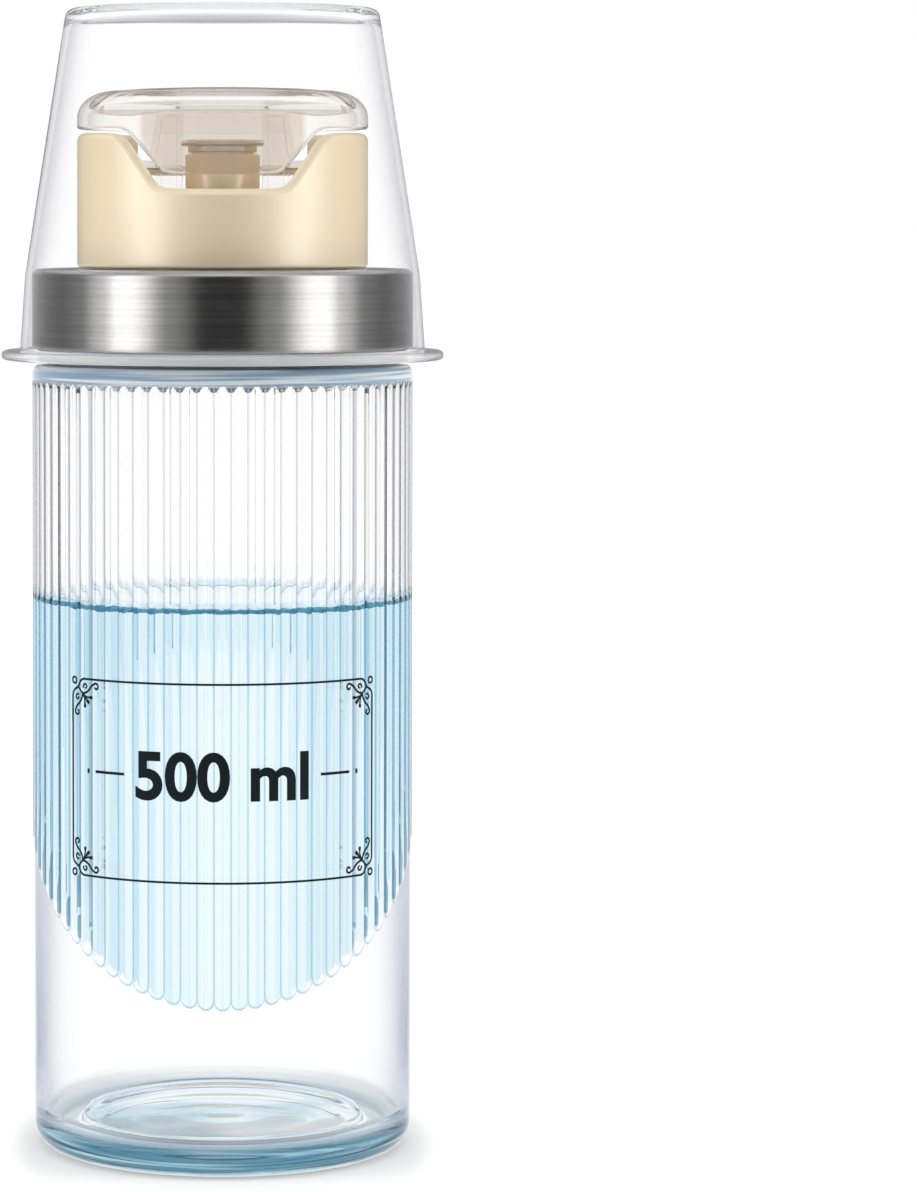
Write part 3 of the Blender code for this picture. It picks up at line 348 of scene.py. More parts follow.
def rinse_edge():
    """The liquid's rim, where it climbs the glass: looked along, it shows its deepest blue."""
    material, tree = new_material("rinse_edge", Roughness=0, IOR=1.1, Transmission_Weight=1)
    x, y, z = object_xyz(tree)
    radius = axis_distance(tree, x, y)
    outer = add_node(tree, "MapRange", EASED, radius, INNER_R - 0.5 * MM, INNER_R - 0.1 * MM)
    leaving = add_node(tree, "NewGeometry").outputs["Backfacing"]
    deep = add_node(tree, "Math", HELD_DIFFERENCE, outer, leaving)
    beaded = add_node(tree, "Math", "MULTIPLY_ADD", grain(tree, 1, 1, 1), 1.1 * MM, FILL_Z - 0.4 * MM)
    over = add_node(tree, "Math", "SUBTRACT", z, beaded)
    low = add_node(tree, "MapRange", EASED, over, 0.25 * MM, 0.05 * MM)
    deep = add_node(tree, "Math", "MULTIPLY", deep, low)
    give_shader(tree, Base_Color=add_node(tree, "Mix", COLOURS, deep, linear("#EEF3F6"), linear("#1D6684")))
    let_lamps_through(tree, "#E4EEF2")
    return material


# Steel, plastic and ink
def turned_stainless():
    """Small turned steel parts: bright, with a faint blur from the lathe, its marks drawn 0.33 mm apart.

    Real marks are about 0.1 mm apart, too fine to show.
    """
    material, tree = new_material("turned_stainless", Metallic=1, Base_Color=linear("#E9E6E2"))
    lathe_marks = grain(tree, 5, 5, 0.3333)
    give_shader(tree, Roughness=add_node(tree, "MapRange", None, lathe_marks, To_Min=0.12, To_Max=0.24))
    return material


def brushed_stainless():
    """Stainless sheet brushed round the axis: streaks that stretch every reflection upwards.

    Real streaks are about 0.05 mm wide, too fine to show, so they are drawn 0.38 mm wide.
    """
    material, tree = new_material("brushed_stainless", Metallic=1, Anisotropic=0.7,
                                  Anisotropic_Rotation=0.25)
    streaks = grain(tree, 71.4, 71.4, 0.3846, 3)
    give_shader(
        tree, Base_Color=add_node(tree, "Mix", COLOURS, streaks, linear("#A5A4A3"), linear("#C5C4C3")),
        Roughness=add_node(tree, "MapRange", None, streaks, To_Min=0.13, To_Max=0.25),
        Normal=add_node(tree, "Bump", Strength=0.1, Distance=0.05 * MM, Height=streaks),
        Tangent=add_node(tree, "Tangent", {"direction_type": "RADIAL", "axis": "Z"}))
    return material


def moulded_plastic(name, colour, shade, roughness, grain_mm, coat=0, bending=1.5):
    """Injection-moulded plastic: even colour, a soft gloss and a fine spark-eroded grain."""
    material, tree = new_material(name, Roughness=roughness, IOR=bending, Coat_Weight=coat,
                                  Coat_Roughness=0.22, Coat_IOR=2.1)
    cloudy = grain(tree, 16.7, 16.7, 16.7)
    eroded = grain(tree, grain_mm, grain_mm, grain_mm)
    give_shader(tree, Base_Color=add_node(tree, "Mix", COLOURS, cloudy, linear(colour), linear(shade)),
                Normal=add_node(tree, "Bump", Strength=0.05, Distance=0.08 * MM, Height=eroded))
    return material


def clear_plastic(name, colour, depth_colour, density, roughness, bending=1.3, tinted=None, edge=None):
    """Moulded see-through plastic, tinted by its depth, with an edge colour painted as shade where it is
    looked along.

    Thin walls get an index of refraction under the real 1.5, so that they look as light as they are.
    """
    material, tree = new_material(name, Base_Color=linear(colour), Roughness=roughness, IOR=bending,
                                  Transmission_Weight=1)
    tint = tinted(tree, linear(colour)) if tinted else linear(colour)
    if edge:
        # Painted shade: the edge colour where the surface is looked along
        grazed = add_node(tree, "LayerWeight", Blend=0.5)
        rim = add_node(tree, "MapRange", EASED, grazed.outputs["Facing"], 0.45, 0.95)
        give_shader(tree, Base_Color=add_node(tree, "Mix", COLOURS, rim, tint, linear(edge)))
    flow = grain(tree, 27.8, 27.8, 27.8, 1)
    give_shader(tree, Normal=add_node(tree, "Bump", Strength=0.02, Distance=0.3 * MM, Height=flow))
    absorb(tree, depth_colour, density)
    let_lamps_through(tree, colour)
    return material


def tongue_shade(tree, colour):
    """Browner, less clear smoke low in the middle, where the lid's tongue closes the notch: partly the
    doubled wall's deeper tint, partly painted shade of the mechanism behind it.
    """
    x, y, z = object_xyz(tree)
    wide = add_node(tree, "MapRange", EASED, add_node(tree, "Math", "ABSOLUTE", x), 16.2 * MM, 14.6 * MM)
    low = add_node(tree, "MapRange", EASED, z, 204 * MM, 202.6 * MM)
    front = add_node(tree, "MapRange", EASED, y, -10 * MM, -16 * MM)
    # Painted shade: browner, less clear smoke in the middle of the tongue
    share = add_node(tree, "Math", "MULTIPLY", add_node(tree, "Math", "MULTIPLY", wide, low), front)
    give_shader(tree, Transmission_Weight=add_node(tree, "Math", "MULTIPLY_ADD", share, -0.08, 1))
    return add_node(tree, "Mix", COLOURS, share, colour, linear("#E2DAD0"))


def flange_haze(tree, colour):
    """The cup's thick flange looks whiter than its walls."""
    height = object_xyz(tree)["Z"]
    flange = add_node(tree, "MapRange", EASED, height, CUP_FLANGE_Z + 0.4 * MM, CUP_FLANGE_Z)
    give_shader(tree, Transmission_Weight=add_node(tree, "Math", "MULTIPLY_ADD", flange, -0.3, 1))
    return colour


def screen_ink():
    """Screen-printed enamel ink: near-black, even and slightly glossy."""
    return moulded_plastic("screen_ink", "#1A2125", "#1F272B", 0.5, 0.2, bending=1.1)


# Outlines and turning
def rounded(corners, steps=6):
    """Outline points, with an arc in place of each (u, v, radius) corner that has a radius."""
    points = []
    for index, (u, v, radius) in enumerate(corners):
        here = Vector((u, v))
        if not radius:
            points.append(here)
            continue
        before = Vector(corners[index - 1][:2]) - here
        after = Vector(corners[(index + 1) % len(corners)][:2]) - here
        half = before.angle(after) / 2
        reach = min(radius / math.tan(half), before.length / 2, after.length / 2)
        start = here + before.normalized() * reach
        end = here + after.normalized() * reach
        centre = here + (before.normalized() + after.normalized()).normalized() * reach / math.cos(half)
        sweep = (start - centre).angle_signed(end - centre)
        points += [centre + Matrix.Rotation(-sweep * step / steps, 2) @ (start - centre)
                   for step in range(steps + 1)]
    return points


def quarter_round(radius, z, out, up, steps=12):
    """Quarter of an ellipse about a (radius, z) centre, from its outermost point to its top."""
    turns = [TURN / 4 * step / steps for step in range(steps + 1)]
    return [Vector((radius + out * math.cos(turn), z + up * math.sin(turn))) for turn in turns]


def turned(outline, steps):
    """Round shell about Z from an outline of (radius, z) points: an eighth is spun, then doubled."""
    bm = bmesh.new()
    verts = [bm.verts.new((radius, 0, z)) for radius, z in outline]
    for first, second in zip(verts, verts[1:] + verts[:1]):
        if first.co.x or second.co.x:
            bm.edges.new((first, second))
    bmesh.ops.spin(bm, geom=bm.verts[:] + bm.edges[:], cent=(0, 0, 0), axis=(0, 0, 1),
                   dvec=(0, 0, 0), angle=TURN / 8, steps=steps // 8, use_merge=False)
    for doubling in (8, 4, 2):
        copied = bmesh.ops.duplicate(bm, geom=bm.verts[:] + bm.edges[:] + bm.faces[:])
        verts = [item for item in copied["geom"] if isinstance(item, bmesh.types.BMVert)]
        bmesh.ops.rotate(bm, cent=(0, 0, 0), matrix=Matrix.Rotation(TURN / doubling, 3, "Z"), verts=verts)
    bmesh.ops.remove_doubles(bm, verts=bm.verts[:], dist=1e-6)
    bmesh.ops.recalc_face_normals(bm, faces=bm.faces[:])
    return bm


def smooth_step(value):
    """Cubic ease of a value held between 0 and 1."""
    held = min(max(value, 0), 1)
    return held * held * (3 - 2 * held)


def smooth_max(a, b, soft):
    """Larger of two numbers, eased where they meet."""
    return (a + b + math.sqrt((a - b) ** 2 + soft * soft)) / 2


def smooth_min(a, b, soft):
    """Smaller of two numbers, eased where they meet."""
    return (a + b - math.sqrt((a - b) ** 2 + soft * soft)) / 2


def add_piece(name, bm, material, body, nodes=(), sharp=40):
    """Finished piece that rides on a body and stands for CAD nodes."""
    mesh = bpy.data.meshes.new(name)
    bm.to_mesh(mesh)
    bm.free()
    mesh.materials.append(material)
    mesh.shade_smooth()
    mesh.set_sharp_from_angle(angle=math.radians(sharp))
    piece = bpy.data.objects.new(name, mesh)
    bpy.context.scene.collection.objects.link(piece)
    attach(piece, body)
    if nodes:
        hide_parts(*nodes)
    return piece


# Bottle and liquid
def rib_height(turn, above_foot, below_top):
    """Radius of the outside at one azimuth: convex reeds with rounded lower ends and scalloped tops."""
    across = (turn / TURN * RIBS + 0.5) % 1 * 2 - 1
    reed = VALLEY_R + (BODY_R - VALLEY_R) * (1 - abs(across) ** 5)
    tip = 1 - math.sqrt(max(0, 1 - across * across))
    low = smooth_step((above_foot - REED_TIP * tip) / (0.9 * MM))
    high = smooth_step((below_top - REED_TOP * tip) / (0.5 * MM))
    return SMOOTH_R + (reed - SMOOTH_R) * low if above_foot < 20 * MM else BODY_R + (reed - BODY_R) * high


def thread_rise(turn, z):
    """How far the neck's thread stands out at one place."""
    along = (z - THREAD_START_Z) / THREAD_PITCH
    lap = along - turn / TURN
    nearest = round(lap)
    if not 0 <= nearest + turn / TURN <= THREAD_TURNS:
        return 0
    off = abs(lap - nearest) * THREAD_PITCH
    ends = min(nearest + turn / TURN, THREAD_TURNS - nearest - turn / TURN) * 12
    return THREAD_RISE * smooth_step((0.95 * MM - off) / (0.55 * MM)) * smooth_step(ends)


def bottle_glass():
    """Pressed bottle: punt, thick base, reeds that end on a tilted plane, shoulder, threaded neck."""
    thread_low, thread_high = 156.5 * MM, 165 * MM
    foot_rows = [RIB_MIDDLE_Z + lift * MM for lift in (-0.4, 0, 0.3, 0.6, 0.9, 1.3, 1.7, 2.1, 2.7)]
    top_rows = [RIB_TOP_Z - drop * MM for drop in (2, 1.4, 1.1, 0.9, 0.7, 0.5, 0.35, 0.2, 0)]
    thread_rows = [156.6 * MM + index * 0.3 * MM for index in range(27)]
    outline = rounded([(0, 1.5 * MM, 0), (21 * MM, 1.5 * MM, 0), (26 * MM, 1.1 * MM, 0.5 * MM),
                       (28 * MM, 0, 1.2 * MM), (SMOOTH_R, 0, 5 * MM), (SMOOTH_R, 20 * MM, 0)])
    outline += [Vector((SMOOTH_R, z)) for z in foot_rows]
    outline += [Vector((BODY_R, z)) for z in [100 * MM, 112 * MM, 124 * MM, 136 * MM] + top_rows]
    outline += rounded([(BODY_R, RIB_TOP_Z, 0), (BODY_R, SHOULDER_Z, 1.4 * MM),
                        (NECK_R, SHOULDER_Z, 0.8 * MM), (NECK_R, thread_low, 0)])[1:-1]
    outline += [Vector((NECK_R, z)) for z in thread_rows]
    outline += rounded([(NECK_R, thread_high, 0), (NECK_R, NECK_TOP_Z, 0.8 * MM),
                        (NECK_BORE, NECK_TOP_Z, 0.8 * MM), (NECK_BORE, 152.4 * MM, 1.2 * MM),
                        (INNER_R, 152.2 * MM, 1.2 * MM), (INNER_R, FLOOR_Z, 4 * MM),
                        (PUNT_R, FLOOR_Z, 1 * MM)])
    outline += [Vector((radius * MM, FLOOR_Z + lift * MM)) for radius, lift in FLOOR_RIPPLES]
    bm = turned(outline, RIBS * RIB_COLUMNS)
    for vert in bm.verts:
        radius, z = math.hypot(vert.co.x, vert.co.y), vert.co.z
        turn = math.atan2(vert.co.y, vert.co.x) % TURN
        grown = radius
        if radius > SMOOTH_R - 0.1 * MM and 40 * MM < z <= RIB_TOP_Z + 0.01 * MM:
            tilted = z < TILTED_ROWS_Z
            grown = rib_height(turn, z - RIB_MIDDLE_Z if tilted else 1, RIB_TOP_Z - z)
            if tilted:
                vert.co.z += RIB_SWING_Z * math.sin(turn)
        elif abs(radius - NECK_R) < 0.1 * MM and thread_low - 0.1 * MM < z < thread_high - 0.4 * MM:
            grown = radius + thread_rise(turn, z)
        if radius:
            vert.co.x *= grown / radius
            vert.co.y *= grown / radius
    return bm


def liquid_fill():
    """Rinse inside the glass, its skin just within the glass wall, with a meniscus at its rim."""
    skin = 0.12 * MM
    meniscus = ((0.15, 1.3), (0.5, 0.7), (1, 0.33), (1.8, 0.1), (3, 0), (12, 0))
    floor = FLOOR_Z - skin
    outline = [Vector((radius * MM, floor + lift * MM)) for radius, lift in reversed(FLOOR_RIPPLES)]
    outline += rounded([(PUNT_R, floor, 0), (INNER_R + skin, floor, 4 * MM),
                        (INNER_R + skin, FILL_Z + 1.6 * MM, 0)])
    outline += [Vector((INNER_R - back * MM, FILL_Z + rise * MM)) for back, rise in meniscus]
    outline.append(Vector((0, FILL_Z)))
    return turned(outline, 288)


def meniscus_ring():
    """Rim of the liquid: a thin ring that clings to the glass, beaded as the reeds before it show it."""
    clinging = INNER_R + 0.08 * MM
    outline = rounded([(INNER_R - 0.7 * MM, FILL_Z, 0), (clinging, FILL_Z - 1 * MM, 0.1 * MM),
                       (clinging, FILL_Z + 0.6 * MM, 0.1 * MM), (INNER_R - 0.4 * MM, FILL_Z + 0.3 * MM, 0)])
    bm = turned(outline, RIBS * RIB_COLUMNS)
    for vert in bm.verts:
        turn = math.atan2(vert.co.y, vert.co.x)
        across = abs((turn / TURN * RIBS + 0.5) % 1 * 2 - 1)
        loose = math.sin(turn * 31) * math.sin(turn * 5 + 1) + 0.6 * math.sin(turn * 101)
        vert.co.z += (0.34 * (0.6 - across * across) + 0.1 * loose) * MM
        if vert.co.z > FILL_Z:
            vert.co.z += 0.45 * MM * (1 - across ** 3)
    return bm


# Printed label: flat (u, v) strokes in mm, laid round the bottle afterwards
def label_strokes():
    """Lines of the printed frame, its corner scrolls and the rules beside the figures, with widths."""
    half, low, high, corner, middle = 32.7, 57, 94.8, 3.2, 77.2
    strokes = [([(-half + corner, level), (half - corner, level)], 0.42) for level in (high, low)]
    strokes += [([(edge, low + corner), (edge, high - corner)], 0.5) for edge in (-half, half)]
    for side in (-1, 1):
        for end, level in ((-1, low), (1, high)):
            strokes += corner_scroll(side * half, level, side, end)
        strokes.append(([(side * 19.6, middle), (side * 26.4, middle)], 0.55))
        strokes.append(([(side * 28, middle), (side * 28.5, middle)], 0.9))
    return strokes


def spiral(u, v, radius, start, sweep, count=22):
    """Points of a scroll that winds in towards its centre."""
    points = []
    for index in range(count + 1):
        share = index / count
        turn = start + sweep * share
        reach = radius * (1 - 0.66 * share)
        points.append((u + reach * math.cos(turn), v + reach * math.sin(turn)))
    return points


def corner_scroll(u, v, side, end):
    """Common scroll ornament of one corner: outer ring, cut corner, paired scrolls and leaf drops."""
    ring_turns = [TURN * step / 16 for step in range(17)]
    ring = [(0.5 + 0.6 * math.cos(turn), 0.4 + 0.6 * math.sin(turn)) for turn in ring_turns]
    halves = [([(3.2, 0), (2.75, 0.12), (2.35, 0.4), (2, 0.85), (1.8, 1.3), (1.6, 1.6)], 0.46),
              (spiral(3.6, 1.45, 0.62, 2.6, 1.8 * math.pi), 0.42),
              ([(2.8, 2.8), (3.5, 2.7), (4.15, 2.4), (4.7, 1.95), (5.1, 1.45), (5.45, 1.1),
                (5.92, 0.96)], 0.46),
              (spiral(6.4, 1.4, 0.74, -2.4, 1.75 * math.pi), 0.44),
              ([(2.8, 2.8), (3.5, 3.3), (4.3, 3.5), (4.9, 3.5)], 0.4),
              ([(4.8, 3.5), (5.5, 3.5)], 0.66)]
    strokes = [(ring, 0.44), ([(1.6, 1.6), (4, 4)], 0.44), ([(4, 4), (4.65, 4.65)], 0.7)]
    strokes += halves + [([(b, a) for a, b in points], width) for points, width in halves]
    return [([(u - side * a, v - end * b) for a, b in points], width) for points, width in strokes]


def stroke_curve(strokes):
    """Raised ink lines in the flat, as a curve with a round section."""
    curve = bpy.data.curves.new("ink_lines", "CURVE")
    curve.dimensions = "3D"
    curve.bevel_resolution = 1
    curve.use_fill_caps = True
    curve.bevel_depth = 1 * MM
    for points, width in strokes:
        line = curve.splines.new("POLY")
        line.points.add(len(points) - 1)
        for place, (u, v) in zip(line.points, points):
            place.co = (u * MM, v * MM, 0, 1)
            place.radius = width / 2
    return curve


def figure_curve(text, size):
    """Plain bold figures in the flat, centred."""
    curve = bpy.data.curves.new("ink_figures", "FONT")
    curve.body = text
    curve.align_x = "CENTER"
    curve.size = size * MM
    curve.offset = 0.028 * size * MM
    curve.extrude = 0.1 * MM
    curve.resolution_u = 6
    return curve


def flat_mesh(curve, height=0):
    """Mesh of a curve, moved up by a height in mm."""
    holder = bpy.data.objects.new(curve.name, curve)
    bpy.context.scene.collection.objects.link(holder)
    bpy.context.view_layer.update()
    mesh = bpy.data.meshes.new_from_object(holder)
    bpy.data.objects.remove(holder)
    mesh.transform(Matrix.Translation((0, height * MM, 0)))
    return mesh


def wrapped_ink(meshes, radius, rise):
    """Flat meshes cut into narrow strips and laid round the bottle, pressed to a thin rise."""
    bm = bmesh.new()
    for mesh in meshes:
        bm.from_mesh(mesh)
    bmesh.ops.remove_doubles(bm, verts=bm.verts[:], dist=1e-7)
    thick = max(abs(vert.co.z) for vert in bm.verts)
    for cut in range(-34, 35):
        bmesh.ops.bisect_plane(bm, geom=bm.verts[:] + bm.edges[:] + bm.faces[:], dist=1e-8,
                               plane_co=(cut * MM, 0, 0), plane_no=(1, 0, 0))
    for vert in bm.verts:
        turn = FRONT + vert.co.x / radius
        out = radius + rise * vert.co.z / thick
        vert.co = (out * math.cos(turn), out * math.sin(turn), vert.co.y)
    bmesh.ops.recalc_face_normals(bm, faces=bm.faces[:])
    return bm


# Cap and spout
def notch_line(vert, floor, shoulder, inset, soft):
    """Height of the notch's edge in front of a point: level floor, sloped sides, eased corners."""
    across = HOUSING_R * math.sin(math.atan2(vert.co.x, -vert.co.y))
    start, end = NOTCH_FLOOR_HALF - inset, NOTCH_TOP_HALF - inset
    share = smooth_max((abs(across) - start) / (end - start), 0, soft)
    return floor + (shoulder - floor) * smooth_min(share, 1, soft)


def housing():
    """Cream collar whose rounded rim dips through the pour notch, open behind for the lid."""
    bore, step, edge = 9 * MM, 24.1 * MM, 1.45 * MM
    outline = rounded([(bore, 172.2 * MM, 0), (step, 172.2 * MM, 0), (step, HOUSING_LOW_Z, 0),
                       (HOUSING_R, HOUSING_LOW_Z, 0.6 * MM), (HOUSING_R, 176 * MM, 0),
                       (HOUSING_R, HOUSING_TOP_Z, edge), (HOUSING_INNER_R, HOUSING_TOP_Z, edge),
                       (HOUSING_INNER_R, 176.4 * MM, 0), (HOUSING_INNER_R, DECK_Z, 1.5 * MM),
                       (bore, DECK_Z, 0)])
    bm = turned(outline, 360)
    for vert in bm.verts:
        under = HOUSING_TOP_Z - vert.co.z
        if under > 1.6 * MM:
            continue
        level = HOUSING_TOP_Z
        if vert.co.y < 0:
            level = notch_line(vert, NOTCH_FLOOR_Z, HOUSING_TOP_Z, 0, 0.16)
        elif abs(vert.co.x) < LID_SLOT_HALF * math.hypot(vert.co.x, vert.co.y) / HOUSING_R:
            level = LID_SLOT_Z
        vert.co.z = level - under
    return bm


def band_shell():
    """Steel sleeve with a rolled top edge and a flat top ring."""
    inner, hole, under = 36.5 * MM, 24.5 * MM, 172 * MM
    outline = rounded([(inner, BAND_LOW_Z, 0), (BODY_R, BAND_LOW_Z, 0.25 * MM),
                       (BODY_R, BAND_TOP_Z, 1.3 * MM), (hole, BAND_TOP_Z, 0.2 * MM),
                       (hole, under, 0), (inner, under, 0)], 8)
    return turned(outline, 240)


def gasket_ring():
    """Clear silicone ring with soft edges between glass and steel."""
    inner, outer, low, high, soft = 28.8 * MM, 36.6 * MM, 154.6 * MM, 156.9 * MM, 0.9 * MM
    outline = rounded([(inner, low, 0), (outer, low, soft), (outer, high, soft), (inner, high, 0)])
    return turned(outline, 192)


def spout_part(outline):
    """Turned piece on the spout's axis."""
    bm = turned(outline, 128)
    bmesh.ops.translate(bm, vec=(0, SPOUT_Y, 0), verts=bm.verts[:])
    return bm


def nozzle_shell():
    """Cream spout with a flared foot on the deck."""
    return spout_part(rounded([(6.2 * MM, 172.2 * MM, 0), (6.8 * MM, 172.2 * MM, 0),
                               (6.8 * MM, 175.1 * MM, 0), (10.5 * MM, 175.1 * MM, 0.4 * MM),
                               (7.2 * MM, 179.6 * MM, 4.5 * MM), (7.2 * MM, 195.6 * MM, 0.4 * MM),
                               (6.2 * MM, 195.6 * MM, 0)], 8))


def tip_shell():
    """Steel liner with a stepped, rolled lip."""
    return spout_part(rounded([(5.3 * MM, 186.6 * MM, 0), (5.9 * MM, 186.6 * MM, 0),
                               (5.9 * MM, 195.9 * MM, 0), (6.65 * MM, 195.9 * MM, 0.2 * MM),
                               (6.65 * MM, 197 * MM, 0.2 * MM), (8 * MM, 197 * MM, 0.55 * MM),
                               (8 * MM, 198.2 * MM, 0.55 * MM), (6.65 * MM, 198.2 * MM, 0.5 * MM),
                               (5.3 * MM, 195.9 * MM, 0.8 * MM)]))


# Lid and cup
def lid_shell():
    """Smoky lid: domed crown with a broad round edge, skirt, and a front tongue that fills the notch."""
    wall, edge_r, edge_z, skirt_z = 2 * MM, 21.8 * MM, 202.6 * MM, LID_LOW_Z + 1.4 * MM
    inner = quarter_round(edge_r, edge_z, 4.8 * MM, 3.2 * MM)
    outer = quarter_round(edge_r, edge_z, 6.8 * MM, 5.2 * MM)
    skirt = rounded([(HOUSING_R - wall, skirt_z, 0), (HOUSING_R - wall, LID_LOW_Z, 0.6 * MM),
                     (HOUSING_R, LID_LOW_Z, 0.6 * MM), (HOUSING_R, skirt_z, 0)])
    dome = [Vector((radius * MM, LID_CROWN_Z - drop * MM))
            for radius, drop in ((18, 0.4), (12, 0.15), (6, 0.03), (0, 0))]
    ceiling = [Vector((0, LID_UNDER_Z)), Vector((16 * MM, LID_UNDER_Z - 0.1 * MM))]
    bm = turned(ceiling + inner[::-1] + skirt + outer + dome, 360)
    for vert in bm.verts:
        over = vert.co.z - LID_LOW_Z
        if over <= 1 * MM and vert.co.y <= 0:
            vert.co.z = notch_line(vert, TONGUE_Z, LID_LOW_Z, 1.5 * MM, 0.14) + over
    return bm


def lug(side):
    """Rounded wedge under the crown, pointing at the middle."""
    bm = bmesh.new()
    bmesh.ops.create_uvsphere(bm, u_segments=48, v_segments=24, radius=1)
    for vert in bm.verts:
        slim = 1 - 0.35 * max(0, -side * vert.co.x)
        vert.co = (side * 16.6 * MM + vert.co.x * 8.6 * MM, -9 * MM + vert.co.y * 3.4 * MM * slim,
                   204.9 * MM - 0.5 * MM * side * vert.co.x + vert.co.z * 2 * MM * slim)
    bmesh.ops.recalc_face_normals(bm, faces=bm.faces[:])
    return bm


def cup_shell():
    """Clear tapered measuring cup, upside down, with a rolled flange round its mouth."""
    ceiling, taper_z, flange_r, dip = 222.5 * MM, 171.7 * MM, 43.5 * MM, 0.4 * MM
    outline = rounded([(0, ceiling, 0), (29.7 * MM, ceiling, 3 * MM), (37.85 * MM, taper_z, 0),
                       (38.85 * MM, CUP_RIM_Z, 0.4 * MM), (flange_r, CUP_RIM_Z, 0.8 * MM),
                       (flange_r, CUP_FLANGE_Z, 0.8 * MM), (39.85 * MM, CUP_FLANGE_Z, 0.7 * MM),
                       (38.85 * MM, taper_z, 0), (30.7 * MM, CUP_TOP_Z, 4 * MM),
                       (27.5 * MM, CUP_TOP_Z, 0), (26.9 * MM, CUP_TOP_Z - dip, 0.3 * MM),
                       (0, CUP_TOP_Z - dip, 0)], 8)
    return turned(outline, 240)


def softened(node, material, body):
    """Copy of a smoky node with its edges eased, as moulding leaves them."""
    bm = bmesh.new()
    bm.from_mesh(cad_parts[node].data)
    bmesh.ops.remove_doubles(bm, verts=bm.verts[:], dist=1e-6)
    bmesh.ops.dissolve_limit(bm, angle_limit=math.radians(1), verts=bm.verts[:], edges=bm.edges[:])
    piece = add_piece(node + "_moulded", bm, material, body, (node,), sharp=30)
    ease = piece.modifiers.new("eased_edges", "BEVEL")
    ease.width = 0.25 * MM
    ease.segments = 3
    ease.limit_method = "ANGLE"
    ease.angle_limit = math.radians(50)


# Studio
def studio_surroundings():
    """World: plain light on the object; white behind glass, soft boxes and a darker room in reflections.

    The mirrored room shows only in a first reflection that the surface blurs, seen bare or through the cup.
    """
    world = bpy.data.worlds.new("studio")
    bpy.context.scene.world = world
    world.use_nodes = True
    tree = world.node_tree
    tree.nodes.clear()
    place = add_node(tree, "TexCoord")
    x, y, z = add_node(tree, "SeparateXYZ", None, place.outputs["Generated"]).outputs
    azimuth = add_node(tree, "Math", "ABSOLUTE", add_node(tree, "Math", "ARCTAN2", x, y))
    share = add_node(tree, "Math", "DIVIDE", azimuth, math.pi)
    rooms = []
    for stops in (GLASS_ROOM, MIRROR_ROOM):
        room = add_node(tree, "ValToRGB", None, share)
        room.color_ramp.interpolation = "EASE"
        while len(room.color_ramp.elements) < len(stops):
            room.color_ramp.elements.new(0.5)
        for element, (degrees, level) in zip(room.color_ramp.elements, stops):
            element.position = degrees / 180
            element.color = (*level, 1) if isinstance(level, tuple) else (level, level, level, 1)
        rooms.append(room)
    glass_room, mirror_room = rooms
    path = add_node(tree, "LightPath").outputs
    once = add_node(tree, "Math", "COMPARE", path["Glossy Depth"], 1, 0.5)
    bare = add_node(tree, "Math", "LESS_THAN", path["Transmission Depth"], 0.5)
    through_cup = add_node(tree, "Math", "COMPARE", path["Transmission Depth"], 4, 0.5)
    seen = add_node(tree, "Math", "MULTIPLY", once, add_node(tree, "Math", "MAXIMUM", bare, through_cup))
    blurred = add_node(tree, "Math", HELD_DIFFERENCE, seen, path["Is Singular Ray"])
    level = add_node(tree, "MapRange", EASED, add_node(tree, "Math", "ABSOLUTE", z), 0.6, 0.3)
    mirrored = add_node(tree, "Math", "MULTIPLY", blurred, level)
    turned_back = add_node(tree, "Math", "GREATER_THAN", path["Glossy Depth"], 0.5)
    through = add_node(tree, "Mix", COLOURS, turned_back, [BRIGHT_WHITE] * 3 + [1], glass_room)
    sharp = add_node(tree, "Math", "MAXIMUM", path["Is Glossy Ray"], path["Is Transmission Ray"])
    direct = add_node(tree, "Math", HELD_DIFFERENCE, sharp, path["Diffuse Depth"])
    reflected = add_node(tree, "Mix", COLOURS, mirrored, through, mirror_room)
    lit = add_node(tree, "Mix", COLOURS, direct, [AMBIENT] * 3 + [1], reflected)
    final = add_node(tree, "Mix", COLOURS, path["Is Camera Ray"], lit, [1, 1, 1, 1])
    plug(tree, add_node(tree, "Background", None, final), add_node(tree, "OutputWorld").inputs["Surface"])
    world.cycles.sampling_method = "NONE"


def white_sweep():
    """White paper sweep: it keeps the object's shadow near its foot and is even white further out."""
    material = bpy.data.materials.new("white_sweep")
    material.use_nodes = True
    tree = material.node_tree
    tree.nodes.clear()
    path = add_node(tree, "LightPath").outputs
    place = add_node(tree, "TexCoord")
    drawn_in = add_node(tree, "Mapping", None, place.outputs["Object"], Scale=(1, 0.55, 1))
    distance = add_node(tree, "VectorMath", "LENGTH", drawn_in)
    far = add_node(tree, "MapRange", EASED, distance, FLOOR_SHADOW_FROM, FLOOR_SHADOW_TO)
    seen = add_node(tree, "Math", "MAXIMUM", path["Is Camera Ray"], path["Is Transmission Ray"])
    paint = add_node(tree, "BsdfDiffuse", Color=[FLOOR_WHITE] * 3 + [1])
    lift = add_node(tree, "Emission", Strength=add_node(tree, "Math", "MULTIPLY", seen, FLOOR_LIFT))
    lit = add_node(tree, "AddShader", None, paint, lift)
    even = add_node(tree, "Emission", Strength=BRIGHT_WHITE)
    surface = add_node(tree, "MixShader", None, add_node(tree, "Math", "MULTIPLY", far, seen), lit, even)
    mirrored = add_node(tree, "Math", "MINIMUM", path["Glossy Depth"], 1)
    surface = add_node(tree, "MixShader", None, mirrored, surface, add_node(tree, "BsdfTransparent"))
    plug(tree, surface, add_node(tree, "OutputMaterial").inputs["Surface"])
    return material


